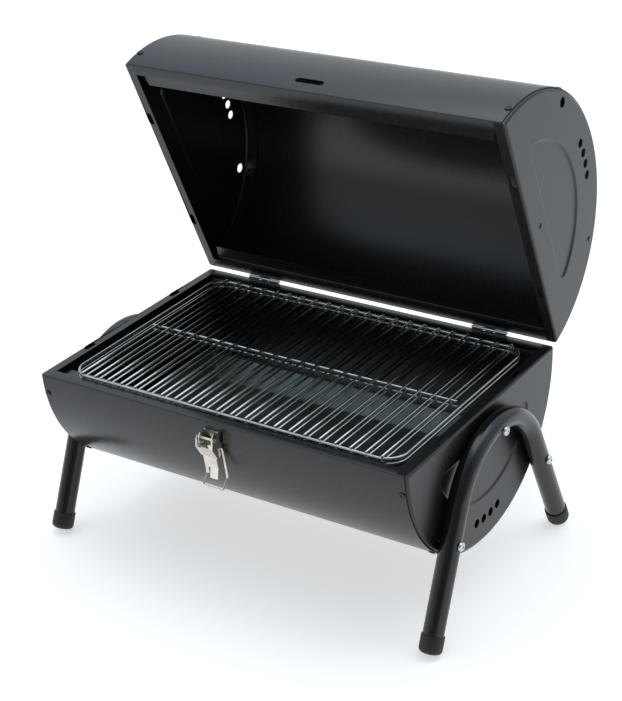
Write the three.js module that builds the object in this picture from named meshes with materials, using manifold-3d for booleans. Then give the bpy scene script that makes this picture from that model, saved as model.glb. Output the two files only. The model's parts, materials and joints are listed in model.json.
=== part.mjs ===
// Table-top barrel charcoal grill: a half-cylinder bowl on two bent-tube leg frames, with a hinged
// half-cylinder lid, two stacked wire grids, a charcoal tray and a toggle latch.
//
// Frame: +X along the barrel to its right end, +Y to the hinge side, +Z up. The pieces are laid out from
// the centre of the bowl's rim, and the finished group is then stood on the floor with the origin at the
// bottom centre of its box. The lid is modelled open, resting on the hinges' stop tabs.

import * as THREE from "three";
import { mergeVertices } from "three/addons/utils/BufferGeometryUtils.js";
import Module from "manifold-3d";

// ---- Driving dimensions, in millimetres and degrees ----

const GAP = 0.3; // left between pieces that touch

const BARREL_LENGTH = 450; // over the outer faces of the end caps
const BARREL_RADIUS = 150; // outer skin of bowl and lid
const SHEET = 1;
const RIM_HEIGHT = 205; // bowl rim above the floor

const FLANGE_WIDTH = 13; // the rim turned in along front and rear
const LEDGE_DROP = 5; // step down from the flange to the grid ledge
const LEDGE_WIDTH = 17;
const LEDGE_END_GAP = 1; // from a cap's wall along the rim

const CAP_DEPTH = 17; // how far a cap's curved wall reaches into the shell
const CAP_RIM_WIDTH = 12; // a cap's wall along the rim
const CAP_REVEAL = 3; // a cap's bend that shows past the end of the shell
const PANEL_INSET = 49.5; // of the pressed D panel's round side from the barrel's skin
const PANEL_TOP = 31; // its straight side, below the rim
const PANEL_CORNER = 10;
const PANEL_DEPTH = 1.2;
const VENT_RADIUS = 4.8;
const VENT_COUNT = 4;
const VENT_PITCH = 14.3;
const VENT_INSET = 26; // of the vents' centres from the barrel's skin
const LID_CAP_HOLE = { radius: 5.4, inset: 12.4, degrees: 40.3 }; // one large hole in each of the lid's caps
const RIM_SLOT_LENGTH = 16;
const RIM_SLOT_WIDTH = 6;
const RIM_SLOT_SPREAD = 150;
const RIM_SLOT_INSET = 5.8; // from a cap's outer face

const SHELL_SCREW_RADIUS = 1.6;
const SHELL_SCREW_HEAD = 3.6;
const SHELL_SCREW_INSET = 7; // from a cap's outer face
const SHELL_SCREW_ANGLE = 8.5; // round the barrel from the rim

const BARREL_FACETS = 32; // round half the barrel

const TUBE_RADIUS = 10.8;
const TUBE_WALL = 1.2;
const ARCH_INSET = 66; // of a leg frame's bend, to the tube's centre line, from the barrel's skin
const ARCH_TOP = 16; // its highest point, below the rim
const LEG_FLARE = 24.7; // degrees from upright
const LEG_SCREW_DROP = 40; // down each leg from the end of the bend
const TOP_SCREW_LOW = 4; // the top screw sits below the tube's centre line
const LEG_SCREW_RADIUS = 2.4;
const LEG_SCREW_HEAD = 5;
const LEG_NUT_RADIUS = 4.6; // over the corners
const LEG_NUT_HEIGHT = 4;

const FOOT_WALL = 1.1;
const FOOT_LENGTH = 18.5;
const FOOT_BASE = 3;
const FOOT_ROUND = 3.5;

const LID_GAP = 2.2; // between the two rims when shut
const LID_OVERHANG = 2.5; // of the lid past the bowl at each end
const LID_OPEN = 68.2; // degrees from shut
const HINGE_OFFSET = 1.5; // hinge axis behind the barrel's skin
const HINGE_INSET = 78; // of a hinge's centre from the barrel's end
const HINGE_LENGTH = 42;
const KNUCKLE_COUNT = 3;
const KNUCKLE_RADIUS = 1.5;
const HINGE_PIN_RADIUS = 0.65;
const HINGE_BORE_RADIUS = 0.71;
const LEAF_THICKNESS = 1;
const LEAF_HEIGHT = 24;
const LEAF_RIVET_SPREAD = 26;
const LEAF_RIVET_DROP = 14;
const STOP_TAB_LENGTH = 9;
const STOP_TAB_WIDTH = 10;

const RIVET_RADIUS = 1.7;
const RIVET_HEAD = 3.6;

const LATCH_SLOT_PLAY = 9; // how much longer than the loop is wide the slot in the lid's front is
const LATCH_SLOT_WIDTH = 7.5;
const LATCH_SLOT_RISE = 17; // from the lid's rim
const BRACKET_WIDTH = 17;
const BRACKET_TOP = 8; // below the rim
const BRACKET_HEIGHT = 28;
const BRACKET_REACH = 12; // of its ears from the barrel's skin
const LATCH_SHEET = 1.2;
const LEVER_PIVOT = { y: -BARREL_RADIUS - 8, z: -15 };
const LEVER_PIN_RADIUS = 1.4;
const LEVER_PLAY = 0.7; // between the bracket and each side of the lever
const LOOP_PIVOT = { y: -BARREL_RADIUS - 1.6, z: -26.6 };
const LEVER_NECK = 2.4; // how much narrower the thumb's end is, each side
const LOOP_WIRE = 1.1; // radius
const LOOP_PLAY = 1; // between the lever and each side of the loop
const LOOP_REACH = 45.4; // from its pivot to its hook bar
const LOOP_ELBOW = 0.77; // of the way to the bar
const LOOP_ELBOW_IN = 4.2; // its elbows bend this far behind the pivot
const LOOP_HOOK_OUT = 5; // and its hook bar hangs this far in front of it

const GRID_PLAY = { x: 25, y: 12.4 }; // between the caps' walls, and between the ledges' steps
const GRID_CORNER = 22;
const GRID_FRAME_WIRE = 3.2; // diameter
const GRID_ROD_WIRE = 2.5; // diameter
const GRID_ROD_END = 30; // least sum of the two end bays
const GRID_ROD_PITCH = 17.5;
const GRID_BAR_OVERHANG = 7.5; // of the middle bar past the outer rods
const GRID_WELD = 0.3; // how deep a rod sinks into the wire under it
const GRID_SHIFT = { x: 5.5, y: -5.7 }; // the grids lie a little off centre

const TRAY_PLAY = 36; // how much shorter than the barrel the tray is
const TRAY_RISE = 58.87; // of the tray's seat above the bottom of the bowl's hollow
const TRAY_DROP = 21;
const TRAY_WALL_RUN = 21; // how far a wall leans in from the mouth to the bottom
const TRAY_FLANGE = 5;
const TRAY_SHEET = 1;

// ---- Finishes ----

const finish = (color, roughness, metalness) =>
  new THREE.MeshStandardMaterial({ color, roughness, metalness });
const blackPaint = finish(0x25272a, 0.42, 0.1);
const chrome = finish(0xd4d6d6, 0.15, 1);
const nickel = finish(0xc9c6bd, 0.22, 1);
const zinc = finish(0xb9bcbe, 0.35, 1);
const galvanised = finish(0x8d9796, 0.4, 0.9);
const footPlastic = finish(0x2b2c2e, 0.6, 0);

// ---- Solids ----

const wasm = await Module();
wasm.setup();

function solidOf(geometry) {
  const bare = geometry.clone();
  bare.deleteAttribute("normal");
  bare.deleteAttribute("uv");
  const merged = mergeVertices(bare, 1e-4);
  return new wasm.Manifold(
    new wasm.Mesh({
      numProp: 3,
      vertProperties: merged.attributes.position.array,
      triVerts: new Uint32Array(merged.index.array),
    }),
  );
}

function geometryOf(solid) {
  const { vertProperties, triVerts } = solid.getMesh();
  const geometry = new THREE.BufferGeometry();
  geometry.setAttribute("position", new THREE.BufferAttribute(vertProperties, 3));
  geometry.setIndex(new THREE.BufferAttribute(triVerts, 1));
  geometry.computeVertexNormals();
  return geometry;
}

const join = (...solids) => solids.reduce((whole, solid) => whole.add(solid));
const cut = (solid, ...tools) => tools.reduce((left, tool) => left.subtract(tool), solid);
const radians = THREE.MathUtils.degToRad;

function box(x0, x1, y0, y1, z0, z1) {
  const geometry = new THREE.BoxGeometry(x1 - x0, y1 - y0, z1 - z0);
  return solidOf(geometry.translate((x0 + x1) / 2, (y0 + y1) / 2, (z0 + z1) / 2));
}

// A shape drawn in the (y, z) plane, swept along X from x0 to x1.
function alongX(shape, x0, x1, curveSegments = 12) {
  const sweep = { depth: x1 - x0, bevelEnabled: false, curveSegments };
  const turn = new THREE.Matrix4().makeBasis(
    new THREE.Vector3(0, 1, 0),
    new THREE.Vector3(0, 0, 1),
    new THREE.Vector3(1, 0, 0),
  );
  return solidOf(new THREE.ExtrudeGeometry(shape, sweep).applyMatrix4(turn).translate(x0, 0, 0));
}

// A shape drawn in the (x, y) plane, swept up from z0 to z1.
function alongZ(shape, z0, z1, curveSegments = 8) {
  const sweep = { depth: z1 - z0, bevelEnabled: false, curveSegments };
  return solidOf(new THREE.ExtrudeGeometry(shape, sweep).translate(0, 0, z0));
}

function cylinderAlongX(radius, x0, x1, y, z, sides = 16) {
  const geometry = new THREE.CylinderGeometry(radius, radius, x1 - x0, sides);
  return solidOf(geometry.rotateZ(Math.PI / 2).translate((x0 + x1) / 2, y, z));
}

const polygon = (...points) => new THREE.Shape(points.map(([a, b]) => new THREE.Vector2(a, b)));

const rectangle = (a0, a1, b0, b1) => polygon([a0, b0], [a1, b0], [a1, b1], [a0, b1]);

function circle(radius, a = 0, b = 0) {
  const shape = new THREE.Shape();
  shape.absarc(a, b, radius, 0, 2 * Math.PI, false);
  return shape;
}

// A slot's outline, long along the first axis.
function stadium(length, width, a = 0, b = 0) {
  const radius = width / 2;
  const half = length / 2 - radius;
  const shape = new THREE.Shape();
  shape.absarc(a + half, b, radius, -Math.PI / 2, Math.PI / 2, false);
  shape.absarc(a - half, b, radius, Math.PI / 2, (3 * Math.PI) / 2, false);
  return shape;
}

// A path whose stations are exactly the given points.
class Route extends THREE.Curve {
  constructor(points) {
    super();
    this.points = points;
  }
  getPoint(t, target = new THREE.Vector3()) {
    const place = t * (this.points.length - 1);
    const index = Math.min(Math.floor(place), this.points.length - 2);
    return target.lerpVectors(this.points[index], this.points[index + 1], place - index);
  }
  getUtoTmapping(u) {
    return u;
  }
}

function sweptAlong(points, shape, sides) {
  const route = new Route(points);
  const sweep = { steps: points.length - 1, extrudePath: route, curveSegments: sides };
  return solidOf(new THREE.ExtrudeGeometry(shape, sweep));
}

// A piece turned on its axis, with that axis pointing away from the barrel's own axis at an angle round it
// (0 is the rear rim, -180 the front rim), its y = 0 at the given distance from the barrel's axis.
function spoke(geometry, angle, distance, x) {
  return geometry.clone().translate(0, distance, 0).rotateX(radians(angle)).translate(x, 0, 0);
}

function spokeHole(radius, angle, x, sides = 8) {
  const drill = new THREE.CylinderGeometry(radius, radius, 12, sides);
  return solidOf(spoke(drill, angle, BARREL_RADIUS - 2, x));
}

// The angle round the bowl at a drop below the rim, on its rear or front side.
const rearAngle = (drop) => -THREE.MathUtils.radToDeg(Math.asin(drop / BARREL_RADIUS));
const frontAngle = (drop) => -180 - rearAngle(drop);

// ---- Half barrel: a shell and two end caps, drawn with the open side up ----

const CAP_FACE = BARREL_LENGTH / 2;
const CAP_RADIUS = BARREL_RADIUS - SHEET - GAP;
const SHELL_END = CAP_FACE - CAP_REVEAL;
const FLANGE_END = CAP_FACE - CAP_RIM_WIDTH - GAP;
const SHELL_SCREW_X = CAP_FACE - SHELL_SCREW_INSET;
const SHELL_SCREW_ANGLES = [-SHELL_SCREW_ANGLE, SHELL_SCREW_ANGLE - 180];
const HOLE_CLEARANCE = 0.3;
const LEDGE_LENGTH = 2 * (CAP_FACE - CAP_RIM_WIDTH - LEDGE_END_GAP);
const PANEL_RADIUS = BARREL_RADIUS - PANEL_INSET;
const VENT_CIRCLE = BARREL_RADIUS - VENT_INSET;
const ARCH_RADIUS = BARREL_RADIUS - ARCH_INSET;

// A shell as long as the bowl's, plus an overhang at each end.
function halfShell(overhang) {
  const shellEnd = SHELL_END + overhang;
  const flangeEnd = FLANGE_END + overhang;
  const inner = BARREL_RADIUS - SHEET;
  const band = new THREE.Shape();
  band.absarc(0, 0, BARREL_RADIUS, Math.PI, 2 * Math.PI, false);
  band.absarc(0, 0, inner, 2 * Math.PI, Math.PI, true);
  const pieces = [alongX(band, -shellEnd, shellEnd, BARREL_FACETS)];
  const step = BARREL_RADIUS - FLANGE_WIDTH;
  for (const side of [-1, 1]) {
    const across = (near, far, low, high) =>
      rectangle(Math.min(side * near, side * far), Math.max(side * near, side * far), low, high);
    const half = LEDGE_LENGTH / 2;
    const ledgeBottom = -LEDGE_DROP - SHEET;
    pieces.push(
      alongX(across(step, BARREL_RADIUS - SHEET / 2, -SHEET, 0), -flangeEnd, flangeEnd),
      alongX(across(step, step + SHEET, ledgeBottom, -SHEET / 2), -half, half),
      alongX(across(step - LEDGE_WIDTH, step + SHEET, ledgeBottom, -LEDGE_DROP), -half, half),
    );
  }
  const screwHoles = [-1, 1].flatMap((end) =>
    SHELL_SCREW_ANGLES.map((angle) =>
      spokeHole(SHELL_SCREW_RADIUS + HOLE_CLEARANCE, angle, end * (SHELL_SCREW_X + overhang)),
    ),
  );
  return cut(join(...pieces), ...screwHoles);
}

function halfDisc(radius, top) {
  const reach = Math.sqrt(radius * radius - top * top);
  const start = Math.atan2(-top, -reach) + 2 * Math.PI;
  const end = Math.atan2(-top, reach) + 2 * Math.PI;
  const shape = new THREE.Shape();
  shape.absarc(0, 0, radius, start, end, false);
  return shape;
}

// A half disc whose two corners are rounded.
function roundedHalfDisc(radius, top, corner) {
  const level = top + corner;
  const across = Math.sqrt((radius - corner) ** 2 - level ** 2);
  const turn = Math.atan2(-level, across);
  const shape = new THREE.Shape();
  shape.absarc(across, -level, corner, turn, Math.PI / 2, false);
  shape.absarc(-across, -level, corner, Math.PI / 2, Math.PI - turn, false);
  shape.absarc(0, 0, radius, Math.PI - turn, 2 * Math.PI + turn, false);
  return shape;
}

function vents() {
  const holes = [];
  for (let i = 0; i < VENT_COUNT; i++) {
    const along = (i - (VENT_COUNT - 1) / 2) * VENT_PITCH;
    const angle = along / VENT_CIRCLE;
    const y = VENT_CIRCLE * Math.sin(angle);
    const z = -VENT_CIRCLE * Math.cos(angle);
    holes.push(faceHole(VENT_RADIUS, { y, z }));
  }
  return holes;
}

// The places of the screws that hold a leg frame, as (y, z) below the rim.
const legBend = radians(90 - LEG_FLARE);
const legAlong = { y: Math.sin(radians(LEG_FLARE)), z: -Math.cos(radians(LEG_FLARE)) };
const bendEnd = {
  y: ARCH_RADIUS * Math.sin(legBend),
  z: -ARCH_TOP - ARCH_RADIUS + ARCH_RADIUS * Math.cos(legBend),
};
const downLeg = (distance) => ({
  y: bendEnd.y + legAlong.y * distance,
  z: bendEnd.z + legAlong.z * distance,
});
const legScrew = downLeg(LEG_SCREW_DROP);
const LEG_SCREWS = {
  top: { y: 0, z: -ARCH_TOP - TOP_SCREW_LOW },
  front: { y: -legScrew.y, z: legScrew.z },
  rear: legScrew,
};

const faceHole = (radius, { y, z }) => cylinderAlongX(radius, CAP_FACE - 5, CAP_FACE + 5, y, z, 12);

const lidHoleCircle = BARREL_RADIUS - LID_CAP_HOLE.inset;
const lidCapHole = faceHole(LID_CAP_HOLE.radius, {
  y: lidHoleCircle * Math.sin(radians(LID_CAP_HOLE.degrees)),
  z: -lidHoleCircle * Math.cos(radians(LID_CAP_HOLE.degrees)),
});

const legScrewHoles = () =>
  Object.values(LEG_SCREWS).map((place) => faceHole(LEG_SCREW_RADIUS + HOLE_CLEARANCE, place));

// The right-hand cap with holes cut in its face; turned half a turn about Z it is the left-hand one.
function endCap(holes) {
  const open = CAP_FACE - CAP_DEPTH;
  const face = CAP_FACE - SHEET;
  const pan = cut(
    alongX(halfDisc(CAP_RADIUS, 0), open, CAP_FACE, BARREL_FACETS),
    alongX(halfDisc(CAP_RADIUS - SHEET, SHEET), open - 1, face, BARREL_FACETS),
    box(open - 1, CAP_FACE - CAP_RIM_WIDTH, -BARREL_RADIUS, BARREL_RADIUS, -SHEET - GAP, 1),
  );
  const panelBack = alongX(
    roundedHalfDisc(PANEL_RADIUS, PANEL_TOP, PANEL_CORNER),
    face - PANEL_DEPTH,
    face + SHEET / 2,
    10,
  );
  const panelFront = alongX(
    roundedHalfDisc(PANEL_RADIUS - SHEET, PANEL_TOP + SHEET, PANEL_CORNER - SHEET),
    CAP_FACE - PANEL_DEPTH,
    CAP_FACE + 1,
    10,
  );
  const rimSlots = [-1, 1].map((side) => {
    const slot = stadium(RIM_SLOT_LENGTH, RIM_SLOT_WIDTH);
    const placed = alongZ(slot, -5, 5, 4).rotate([0, 0, 90]);
    return placed.translate([CAP_FACE - RIM_SLOT_INSET, (side * RIM_SLOT_SPREAD) / 2, 0]);
  });
  const screwHoles = SHELL_SCREW_ANGLES.map((angle) =>
    spokeHole(SHELL_SCREW_RADIUS + HOLE_CLEARANCE, angle, SHELL_SCREW_X),
  );
  return cut(join(pan, panelBack), panelFront, ...vents(), ...holes, ...rimSlots, ...screwHoles);
}

// ---- Fasteners, drawn with the head up the Y axis and its seat at y = 0 ----

const turned = (points, sides) =>
  new THREE.LatheGeometry(
    points.map(([radius, height]) => new THREE.Vector2(radius, height)),
    sides,
  );

function panHeadScrew(radius, headRadius, length, sides = 10) {
  const head = headRadius * 0.62;
  return turned(
    [
      [0, -length],
      [radius, -length + radius * 0.6],
      [radius, 0],
      [headRadius, 0],
      [headRadius * 0.95, head * 0.45],
      [headRadius * 0.55, head * 0.95],
      [0, head],
    ],
    sides,
  );
}

// A rivet that grips the given thickness between its head and its upset tail.
function rivet(grip) {
  return turned(
    [
      [0, -grip - 1.1],
      [RIVET_HEAD * 0.6, -grip - 0.9],
      [RIVET_HEAD * 0.75, -grip],
      [RIVET_RADIUS, -grip],
      [RIVET_RADIUS, 0],
      [RIVET_HEAD, 0],
      [RIVET_HEAD * 0.6, 1],
      [0, 1.3],
    ],
    8,
  );
}

// ---- Leg frame, drawn in the plane x = 0 ----

const TUBE_X = CAP_FACE + GAP + TUBE_RADIUS;
const FOOT_RADIUS = TUBE_RADIUS + GAP + FOOT_WALL;

// Where a leg's foot ends: the foot's rounded edge, the lowest part of the tilted foot, is on the floor.
const flare = radians(LEG_FLARE);
const footEndZ =
  -RIM_HEIGHT +
  FOOT_ROUND -
  FOOT_ROUND * Math.cos(flare) +
  (FOOT_RADIUS - FOOT_ROUND) * Math.sin(flare);
const footDistance = (bendEnd.z - footEndZ) / Math.cos(flare);
const footEnd = downLeg(footDistance);
const tubeEnd = downLeg(footDistance - FOOT_BASE - GAP);

function legFrame() {
  const points = [new THREE.Vector3(0, -tubeEnd.y, tubeEnd.z)];
  const steps = 12;
  for (let i = 0; i <= steps; i++) {
    const angle = -legBend + (2 * legBend * i) / steps;
    const y = ARCH_RADIUS * Math.sin(angle);
    points.push(new THREE.Vector3(0, y, -ARCH_TOP - ARCH_RADIUS + ARCH_RADIUS * Math.cos(angle)));
  }
  points.push(new THREE.Vector3(0, tubeEnd.y, tubeEnd.z));
  const outside = sweptAlong(points, circle(TUBE_RADIUS), 7);
  const last = points.length - 1;
  const past = new THREE.Vector3(0, legAlong.y, legAlong.z);
  const bore = points.map((point) => point.clone());
  bore[last].add(past);
  bore[0].add(past.clone().multiply(new THREE.Vector3(1, -1, 1)));
  const inside = sweptAlong(bore, circle(TUBE_RADIUS - TUBE_WALL), 5);
  const screwHoles = Object.values(LEG_SCREWS).map(({ y, z }) =>
    cylinderAlongX(LEG_SCREW_RADIUS + HOLE_CLEARANCE, -15, 15, y, z, 10),
  );
  return cut(outside, inside, ...screwHoles);
}

function footCap() {
  const bore = TUBE_RADIUS + GAP;
  const round = FOOT_ROUND;
  return turned(
    [
      [0, 0],
      [FOOT_RADIUS - round, 0],
      [FOOT_RADIUS - round * (1 - Math.SQRT1_2), round * (1 - Math.SQRT1_2)],
      [FOOT_RADIUS, round],
      [FOOT_RADIUS, FOOT_LENGTH],
      [bore, FOOT_LENGTH],
      [bore, FOOT_BASE],
      [0, FOOT_BASE],
    ],
    18,
  );
}

function legNut() {
  const hexagon = new THREE.Shape();
  for (let i = 0; i < 6; i++) {
    const angle = (i * Math.PI) / 3;
    const corner = [LEG_NUT_RADIUS * Math.cos(angle), LEG_NUT_RADIUS * Math.sin(angle)];
    if (i) hexagon.lineTo(...corner);
    else hexagon.moveTo(...corner);
  }
  hexagon.holes.push(circle(LEG_SCREW_RADIUS + GAP / 2));
  const outerFace = CAP_FACE - SHEET - GAP;
  return alongX(hexagon, outerFace - LEG_NUT_HEIGHT, outerFace, 5);
}

// ---- Hinges, drawn in a half barrel's frame; the axis lies above the rim and behind the skin ----

const HINGE_SPREAD = BARREL_LENGTH - 2 * HINGE_INSET;
const HINGE_AXIS = { y: BARREL_RADIUS + HINGE_OFFSET, z: LID_GAP / 2 };
const LEAF_RIVET_ANGLE = rearAngle(LEAF_RIVET_DROP);
const KNUCKLE_LENGTH = HINGE_LENGTH / KNUCKLE_COUNT;

// A leaf with knuckles at the given places along its pin, counted from 0.
function hingeLeaf(knuckles, withStop) {
  const inner = BARREL_RADIUS + GAP;
  const outer = inner + LEAF_THICKNESS;
  const low = radians(rearAngle(LEAF_HEIGHT));
  const clearTop = HINGE_AXIS.z - KNUCKLE_RADIUS - GAP;
  const plate = new THREE.Shape();
  plate.absarc(0, 0, outer, low, Math.asin(clearTop / outer), false);
  plate.absarc(0, 0, inner, Math.asin(clearTop / inner), low, true);
  const pieces = [alongX(plate, -HINGE_LENGTH / 2, HINGE_LENGTH / 2, 4)];
  const bores = [];
  for (const place of knuckles) {
    const x0 = -HINGE_LENGTH / 2 + place * KNUCKLE_LENGTH + GAP / 2;
    const x1 = x0 + KNUCKLE_LENGTH - GAP;
    pieces.push(
      cylinderAlongX(KNUCKLE_RADIUS, x0, x1, HINGE_AXIS.y, HINGE_AXIS.z, 14),
      alongX(rectangle(inner, outer, clearTop - 1, HINGE_AXIS.z), x0, x1),
    );
    bores.push(cylinderAlongX(HINGE_BORE_RADIUS, x0 - 1, x1 + 1, HINGE_AXIS.y, HINGE_AXIS.z, 12));
  }
  if (withStop) pieces.push(stopTab());
  for (const side of [-1, 1]) {
    const x = (side * LEAF_RIVET_SPREAD) / 2;
    bores.push(spokeHole(RIVET_RADIUS + HOLE_CLEARANCE, LEAF_RIVET_ANGLE, x, 10));
  }
  return cut(join(...pieces), ...bores);
}

// The tab on the lid's leaf that lies against the bowl's leaf when the lid is open.
function stopTab() {
  const near = BARREL_RADIUS + GAP + LEAF_THICKNESS + GAP - HINGE_AXIS.y;
  const tab = rectangle(near, near + LEAF_THICKNESS, -STOP_TAB_LENGTH, -KNUCKLE_RADIUS * 0.8);
  const flat = alongX(tab, -STOP_TAB_WIDTH / 2, STOP_TAB_WIDTH / 2);
  return flat.rotate([LID_OPEN, 180, 0]).translate([0, HINGE_AXIS.y, HINGE_AXIS.z]);
}

function hingePin() {
  const half = HINGE_LENGTH / 2;
  const { y, z } = HINGE_AXIS;
  return join(
    cylinderAlongX(HINGE_PIN_RADIUS, -half - 1, half + 0.5, y, z, 12),
    cylinderAlongX(HINGE_PIN_RADIUS * 1.7, half + GAP, half + 1.5, y, z, 12),
  );
}

// ---- Toggle latch on the bowl's front ----

const LEVER_WIDTH = BRACKET_WIDTH + 2 * (LATCH_SHEET + LEVER_PLAY);
const LOOP_WIDTH = LEVER_WIDTH + 2 * (LOOP_WIRE + LOOP_PLAY);
const LATCH_SLOT_LENGTH = LOOP_WIDTH + LATCH_SLOT_PLAY;
const skinAt = (z) => -Math.sqrt(BARREL_RADIUS ** 2 - z ** 2);
const LATCH_RIVET_DROPS = [BRACKET_TOP + 6, BRACKET_TOP + BRACKET_HEIGHT - 5];

function latchBracket() {
  const inner = BARREL_RADIUS + GAP;
  const outer = inner + LATCH_SHEET;
  const top = radians(frontAngle(BRACKET_TOP));
  const bottom = radians(frontAngle(BRACKET_TOP + BRACKET_HEIGHT));
  const base = new THREE.Shape();
  base.absarc(0, 0, outer, top, bottom, false);
  base.absarc(0, 0, inner, bottom, top, true);
  const half = BRACKET_WIDTH / 2;
  const pieces = [alongX(base, -half, half, 4)];
  const back = (z) => skinAt(z) - GAP - LATCH_SHEET / 2;
  const earTop = -BRACKET_TOP - 1;
  const earBottom = -BRACKET_TOP - BRACKET_HEIGHT * 0.6;
  const front = -BARREL_RADIUS - BRACKET_REACH;
  const ear = polygon(
    [back(earTop), earTop],
    [front + 3, earTop],
    [front, earTop - 3],
    [front, earBottom + 5],
    [back(earBottom), earBottom],
  );
  for (const side of [-1, 1]) {
    const x = side * (half - LATCH_SHEET / 2);
    pieces.push(alongX(ear, x - LATCH_SHEET / 2, x + LATCH_SHEET / 2));
  }
  const { y, z } = LEVER_PIVOT;
  const pinHole = cylinderAlongX(LEVER_PIN_RADIUS + 0.08, -half - 1, half + 1, y, z, 12);
  const rivetHoles = LATCH_RIVET_DROPS.map((drop) =>
    spokeHole(RIVET_RADIUS + HOLE_CLEARANCE, frontAngle(drop), 0, 10),
  );
  return cut(join(...pieces), pinHole, ...rivetHoles);
}

// An outline whose y runs out of the barrel's skin at the rim.
const fromSkin = (...points) => polygon(...points.map(([y, z]) => [y - BARREL_RADIUS, z]));

function latchLever() {
  const half = LEVER_WIDTH / 2;
  const narrow = half - LEVER_NECK;
  const side = fromSkin(
    [-11.5, -11],
    [-4.5, -11],
    [0.4, -22],
    [0.8, -30],
    [-4.5, -36],
    [-7.2, -36],
    [-14.8, -22.5],
    [-13.4, -14],
  );
  const pieces = [-1, 1].map((end) => {
    const x = end * (half - LATCH_SHEET / 2);
    return alongX(side, x - LATCH_SHEET / 2, x + LATCH_SHEET / 2);
  });
  const slope = fromSkin([-14.8, -22.5], [-13.6, -22.2], [-6.1, -35.6], [-7.2, -36]);
  const web = fromSkin(
    [-14.8, -22.5],
    [-13.6, -22.2],
    [-6.1, -36.2],
    [-4.4, -49],
    [-5.6, -49],
    [-7.2, -36],
  );
  pieces.push(alongX(slope, -half, half), alongX(web, -narrow, narrow));
  const thumb = fromSkin([-5.6, -48.5], [-4.4, -48.5], [-6.3, -60], [-7.5, -60]);
  const tine = fromSkin([-5.6, -48.5], [-4.4, -48.5], [-3.4, -57], [-4.6, -57]);
  pieces.push(alongX(thumb, -1.5, narrow), alongX(tine, -narrow, -4));
  const through = (radius, { y, z }) => cylinderAlongX(radius, -half - 1, half + 1, y, z, 12);
  const pinHole = through(LEVER_PIN_RADIUS + 0.08, LEVER_PIVOT);
  const loopHole = through(LOOP_WIRE + 0.2, LOOP_PIVOT);
  return cut(join(...pieces), pinHole, loopHole);
}

function latchPin() {
  const { y, z } = LEVER_PIVOT;
  const half = LEVER_WIDTH / 2;
  const end = half + 0.7;
  return join(
    cylinderAlongX(LEVER_PIN_RADIUS, -end, end, y, z, 12),
    cylinderAlongX(LEVER_PIN_RADIUS * 1.6, -end, -half - GAP, y, z, 12),
    cylinderAlongX(LEVER_PIN_RADIUS * 1.6, half + GAP, end, y, z, 12),
  );
}

// A path through the corners, each rounded by a few points.
function roundedRoute(corners, radius) {
  const points = [corners[0]];
  for (let i = 1; i < corners.length - 1; i++) {
    const before = corners[i - 1].clone().sub(corners[i]).setLength(radius).add(corners[i]);
    const after = corners[i + 1].clone().sub(corners[i]).setLength(radius).add(corners[i]);
    const bend = new THREE.QuadraticBezierCurve3(before, corners[i], after);
    points.push(...bend.getPoints(4));
  }
  points.push(corners.at(-1));
  return points;
}

function latchLoop() {
  const half = LOOP_WIDTH / 2;
  const hookZ = -Math.sqrt(LOOP_REACH ** 2 - LOOP_HOOK_OUT ** 2);
  const side = (end) => [
    new THREE.Vector3(end * (BRACKET_WIDTH / 2 + GAP), 0, 0),
    new THREE.Vector3(end * half, 0, 0),
    new THREE.Vector3(end * half, LOOP_ELBOW_IN, hookZ * LOOP_ELBOW),
    new THREE.Vector3(end * half, -LOOP_HOOK_OUT, hookZ),
  ];
  const corners = [...side(-1), ...side(1).reverse()];
  const wire = sweptAlong(roundedRoute(corners, 2.4), circle(LOOP_WIRE), 4);
  return wire.translate([0, LOOP_PIVOT.y, LOOP_PIVOT.z]);
}

// ---- Wire grid, drawn with the bottom of its frame wire at z = 0 ----

const GRID_LENGTH = BARREL_LENGTH - 2 * CAP_RIM_WIDTH - GRID_PLAY.x;
const GRID_DEPTH = 2 * (BARREL_RADIUS - FLANGE_WIDTH) - GRID_PLAY.y;
const GRID_RODS = Math.floor((GRID_LENGTH - GRID_ROD_END) / GRID_ROD_PITCH) + 1;

function roundedRectangle(shape, width, depth, radius) {
  const x = width / 2 - radius;
  const y = depth / 2 - radius;
  shape.absarc(x, y, radius, 0, Math.PI / 2, false);
  shape.absarc(-x, y, radius, Math.PI / 2, Math.PI, false);
  shape.absarc(-x, -y, radius, Math.PI, (3 * Math.PI) / 2, false);
  shape.absarc(x, -y, radius, (3 * Math.PI) / 2, 2 * Math.PI, false);
  return shape;
}

function wireGrid() {
  const wire = GRID_FRAME_WIRE;
  const chamfer = wire * (1 - Math.SQRT1_2);
  const frameShape = roundedRectangle(
    new THREE.Shape(),
    GRID_LENGTH - 2 * chamfer,
    GRID_DEPTH - 2 * chamfer,
    GRID_CORNER - chamfer,
  );
  const inset = 2 * (wire - chamfer);
  const innerCorner = GRID_CORNER - wire + chamfer;
  frameShape.holes.push(
    roundedRectangle(new THREE.Path(), GRID_LENGTH - inset, GRID_DEPTH - inset, innerCorner),
  );
  const frame = new THREE.ExtrudeGeometry(frameShape, {
    depth: wire - 2 * chamfer,
    bevelThickness: chamfer,
    bevelSize: chamfer,
    bevelSegments: 1,
    curveSegments: 5,
  });
  const pieces = [solidOf(frame.translate(0, 0, chamfer))];
  const rodRadius = GRID_ROD_WIRE / 2;
  const rod = new THREE.CylinderGeometry(rodRadius, rodRadius, GRID_DEPTH - wire / 2, 6);
  const rodZ = wire - GRID_WELD + rodRadius;
  for (let i = 0; i < GRID_RODS; i++) {
    const x = (i - (GRID_RODS - 1) / 2) * GRID_ROD_PITCH;
    pieces.push(solidOf(rod.clone().translate(x, 0, rodZ)));
  }
  const barHalf = ((GRID_RODS - 1) / 2) * GRID_ROD_PITCH + GRID_BAR_OVERHANG;
  pieces.push(cylinderAlongX(wire / 2, -barHalf, barHalf, 0, wire / 2, 6));
  return join(...pieces);
}

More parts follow.
